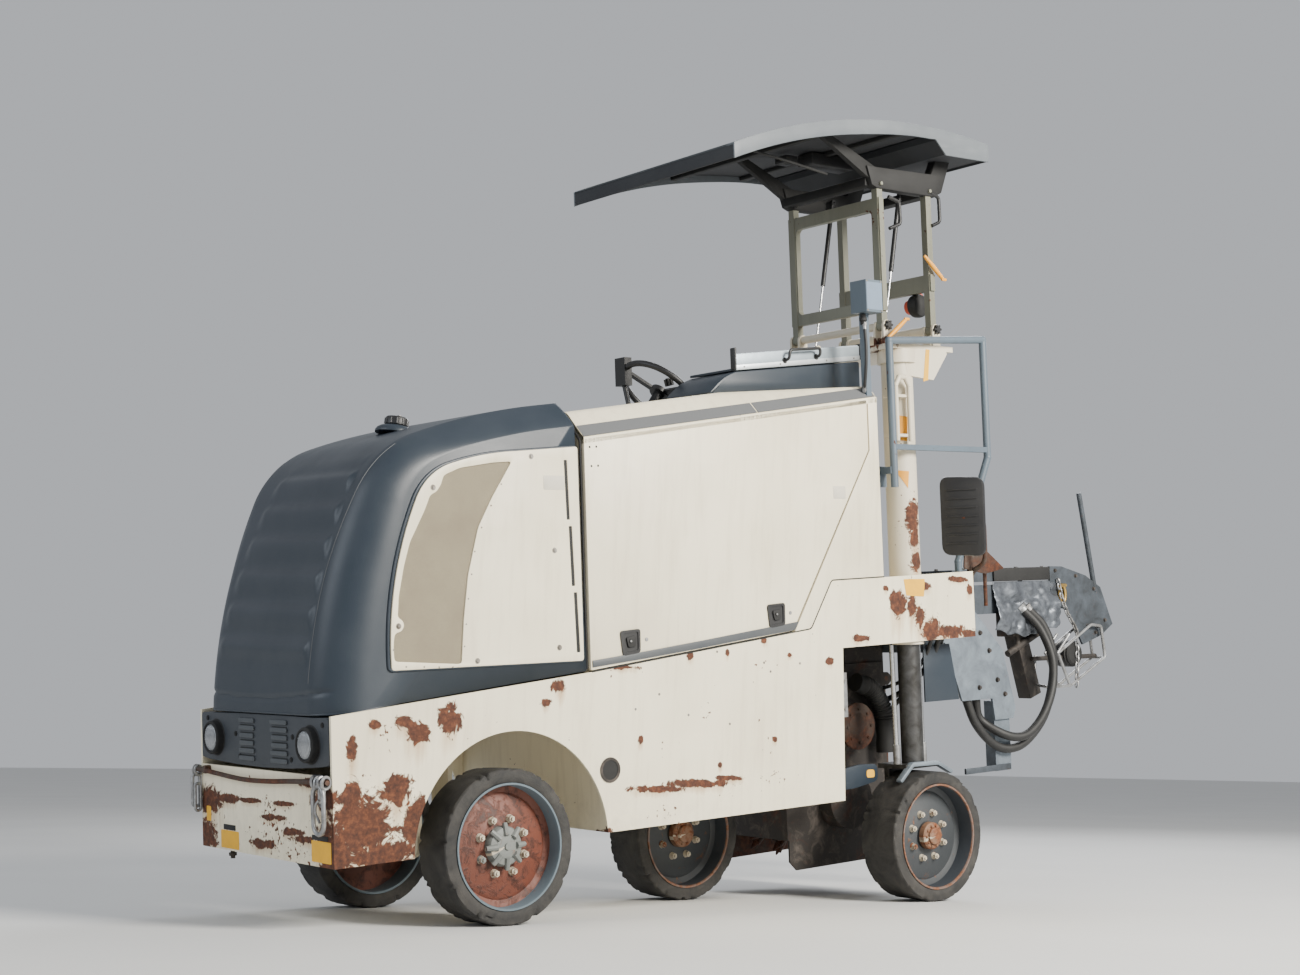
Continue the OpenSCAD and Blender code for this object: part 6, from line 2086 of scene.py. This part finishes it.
def rim_piece(name, body, place, width, sizes, front, replaces):
    """Disc wheel: rolled barrel, dished disc, studs with nuts and a hub in front of it."""
    r, half, deep = sizes.tyre_radius - sizes.rubber, width / 2, 76.0 if front else 92.0
    out = SIDEWAYS
    bm = bmesh.new()
    lathe(
        bm,
        [
            (r - 9, -half + 1), (r, -half + 1), (r, half - 6), (r + 1, half + 1.5), (r - 6, half + 1.5),
            (r - 9, half - 4)
        ],
        out, 72
    )
    barrel = len(bm.faces)
    lathe(
        bm,
        [
            (34, half - deep), (r - 9, half - deep), (r - 9, half - deep + 16), (r - 20, half - deep + 14),
            (r - 34, half - deep + 9), (r - 46, half - deep + 16), (128, half - deep + 16), (122, half - deep + 20),
            (34, half - deep + 20)
        ],
        out, 72
    )
    disc = len(bm.faces)
    for i in range(sizes.studs):
        a = math.tau * (i + 0.5) / sizes.studs
        x, z = sizes.stud_circle / 2 * math.cos(a), sizes.stud_circle / 2 * math.sin(a)
        rod(bm, (x, half - deep + 18, z), (x, half - deep + 27, z), 17, 18, 14)
        matrix, _ = turned((x, half - deep + 26, z), (x, half, z))
        bmesh.ops.create_cone(
            bm, cap_ends=True, segments=6, radius1=13.5, radius2=12.5, depth=14,
            matrix=matrix @ Matrix.Translation((0, 0, 7))
        )
        rod(bm, (x, half - deep + 39, z), (x, half - deep + 47, z), 6.5, 10, 5.5)
    bm.faces.ensure_lookup_table()
    studs = len(bm.faces)
    if front:
        lathe(
            bm,
            [
                (0.01, half - 18), (22, half - 18), (52, half - 22), (66, half - 26), (72, half - 34),
                (74, half - deep + 18), (0.01, half - deep + 18)
            ],
            out, 48, closed=False
        )
        for a in turns(8):
            x, z = math.cos(a), math.sin(a)
            rod(bm, (x * 40, half - 20, z * 40), (x * 84, half - 30, z * 84), 13, 8, 9)
        rod(bm, (0, half - 19, 0), (0, half - 12, 0), 12, 24)
    else:
        lathe(
            bm,
            [
                (0.01, half - 16), (30, half - 16), (36, half - 20), (38, half - 30), (52, half - 32),
                (58, half - 38), (60, half - deep + 18), (0.01, half - deep + 18)
            ],
            out, 48, closed=False
        )
        for a in turns(10):
            bolt(bm, (44 * math.cos(a), half - 32, 44 * math.sin(a)), (0, 1, 0), 9, 5)
    bm.faces.ensure_lookup_table()
    for i, face in enumerate(bm.faces):
        face.material_index = 0 if i < barrel else 1 if i < disc else 2 if i < studs else 3
        if i < barrel and not front and face.calc_center_median().y > half - 6:
            face.material_index = 4
    finishes = ("barrel", "front_rim", "stud", "star") if front else (
        "dark_barrel", "rear_rim", "stud", "hub", "copper"
    )
    piece = finish_mesh(bm, name, finishes, body, smooth=35, place=place)
    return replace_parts(piece, replaces)


WHEELS = (
    ("front_left", "wheel_front_left_spin", 1, True, 1.7),
    ("front_right", "wheel_front_right_spin", -1, True, 5.3),
    ("rear_left", "wheel_rear_left_spin", 1, False, 9.1),
    ("rear_right", "wheel_rear_right_spin", 1, False, 12.9),
)


class PLANER_OT_wheels(bpy.types.Operator):
    """Four solid tyres with torn shoulders, on disc wheels with studs"""

    bl_idname = "planer.wheels"
    bl_label = "Wheels"

    def execute(self, context):
        sizes = context.scene.planer_wheels
        for side, joint, outward, front, seed in WHEELS:
            place = across_axle(joint, LEVEL_UP if front else CHASSIS_UP, outward)
            width = sizes.front_width if front else sizes.rear_width
            tyre_piece("solid_tyre_" + side, "wheel_" + side, place, width, sizes, seed, "tyre_" + side)
            rim_piece("disc_wheel_" + side, "wheel_" + side, place, width, sizes, front, "rim_" + side)
        return {"FINISHED"}


class PLANER_OT_hoses(bpy.types.Operator):
    """Hydraulic hoses and cables with their fittings"""

    bl_idname = "planer.hoses"
    bl_label = "Hoses"

    def execute(self, context):
        hoses()
        return {"FINISHED"}


class PLANER_OT_body(bpy.types.Operator):
    """Moulded hood, its side panels, the deck, the door and the side panels"""

    bl_idname = "planer.body"
    bl_label = "Hood and body"

    def execute(self, context):
        hood_skin()
        hood_seam_line()
        filler_cap()
        hood_side(1)
        hood_side(-1)
        deck()
        body_sides()
        door_fittings()
        blank_plates()
        exhaust()
        side_fittings()
        return {"FINISHED"}


class PLANER_OT_nose(bpy.types.Operator):
    """Front panel with grille, lamps, lashing rod and rings"""

    bl_idname = "planer.nose"
    bl_label = "Nose"

    def execute(self, context):
        nose()
        grille()
        headlamps()
        lashing()
        nose_marks()
        return {"FINISHED"}


class PLANER_OT_cabin(bpy.types.Operator):
    """Console with its lid, the cushioned seat and the mirror"""

    bl_idname = "planer.cabin"
    bl_label = "Cabin"

    def execute(self, context):
        console()
        seat(context.scene.planer_seat)
        cabin()
        return {"FINISHED"}


class PLANER_OT_canopy(bpy.types.Operator):
    """Arched roof and the fittings of its folding posts"""

    bl_idname = "planer.canopy"
    bl_label = "Canopy"

    def execute(self, context):
        roof()
        roof_liner()
        roof_rails()
        canopy()
        horn()
        post_fittings()
        return {"FINISHED"}


class PLANER_OT_rear(bpy.types.Operator):
    """Fittings of the columns, the drum's drive and the conveyor's bracket"""

    bl_idname = "planer.rear"
    bl_label = "Rear"

    def execute(self, context):
        columns()
        leg_fittings()
        column_plates()
        drum()
        bracket_chain()
        work_lamp()
        crumpled_guard()
        bracket_plates()
        return {"FINISHED"}


class PLANER_PT_panel(bpy.types.Panel):
    """Buttons for the planer's steps and boxes of its settings"""

    bl_label = "Planer"
    bl_space_type = "VIEW_3D"
    bl_region_type = "UI"
    bl_category = "Planer"

    def draw(self, context):
        for operator in OPERATORS:
            self.layout.operator(operator.bl_idname)
        for name in GROUPS:
            group, box = getattr(context.scene, name), self.layout.box()
            for key in group.__annotations__:
                box.prop(group, key)


OPERATORS = (
    PLANER_OT_stage, PLANER_OT_finishes, PLANER_OT_hoses, PLANER_OT_body, PLANER_OT_nose, PLANER_OT_wheels,
    PLANER_OT_cabin, PLANER_OT_canopy, PLANER_OT_rear,
)
GROUPS = {
    "planer_paint": PlanerPaint, "planer_wheels": PlanerWheels, "planer_seat": PlanerSeat, "planer_stage": PlanerStage
}
CLASSES = (*GROUPS.values(), *OPERATORS, PLANER_PT_panel)


def register():
    for cls in CLASSES:
        bpy.utils.register_class(cls)
    for name, group in GROUPS.items():
        setattr(bpy.types.Scene, name, bpy.props.PointerProperty(type=group))


def unregister():
    for name in reversed(list(GROUPS)):
        delattr(bpy.types.Scene, name)
    for cls in reversed(CLASSES):
        bpy.utils.unregister_class(cls)


def main():
    register()
    for operator in OPERATORS:
        group, name = operator.bl_idname.split(".")
        getattr(getattr(bpy.ops, group), name)()
    bpy.context.view_layer.update()


if __name__ == "__main__":
    main()
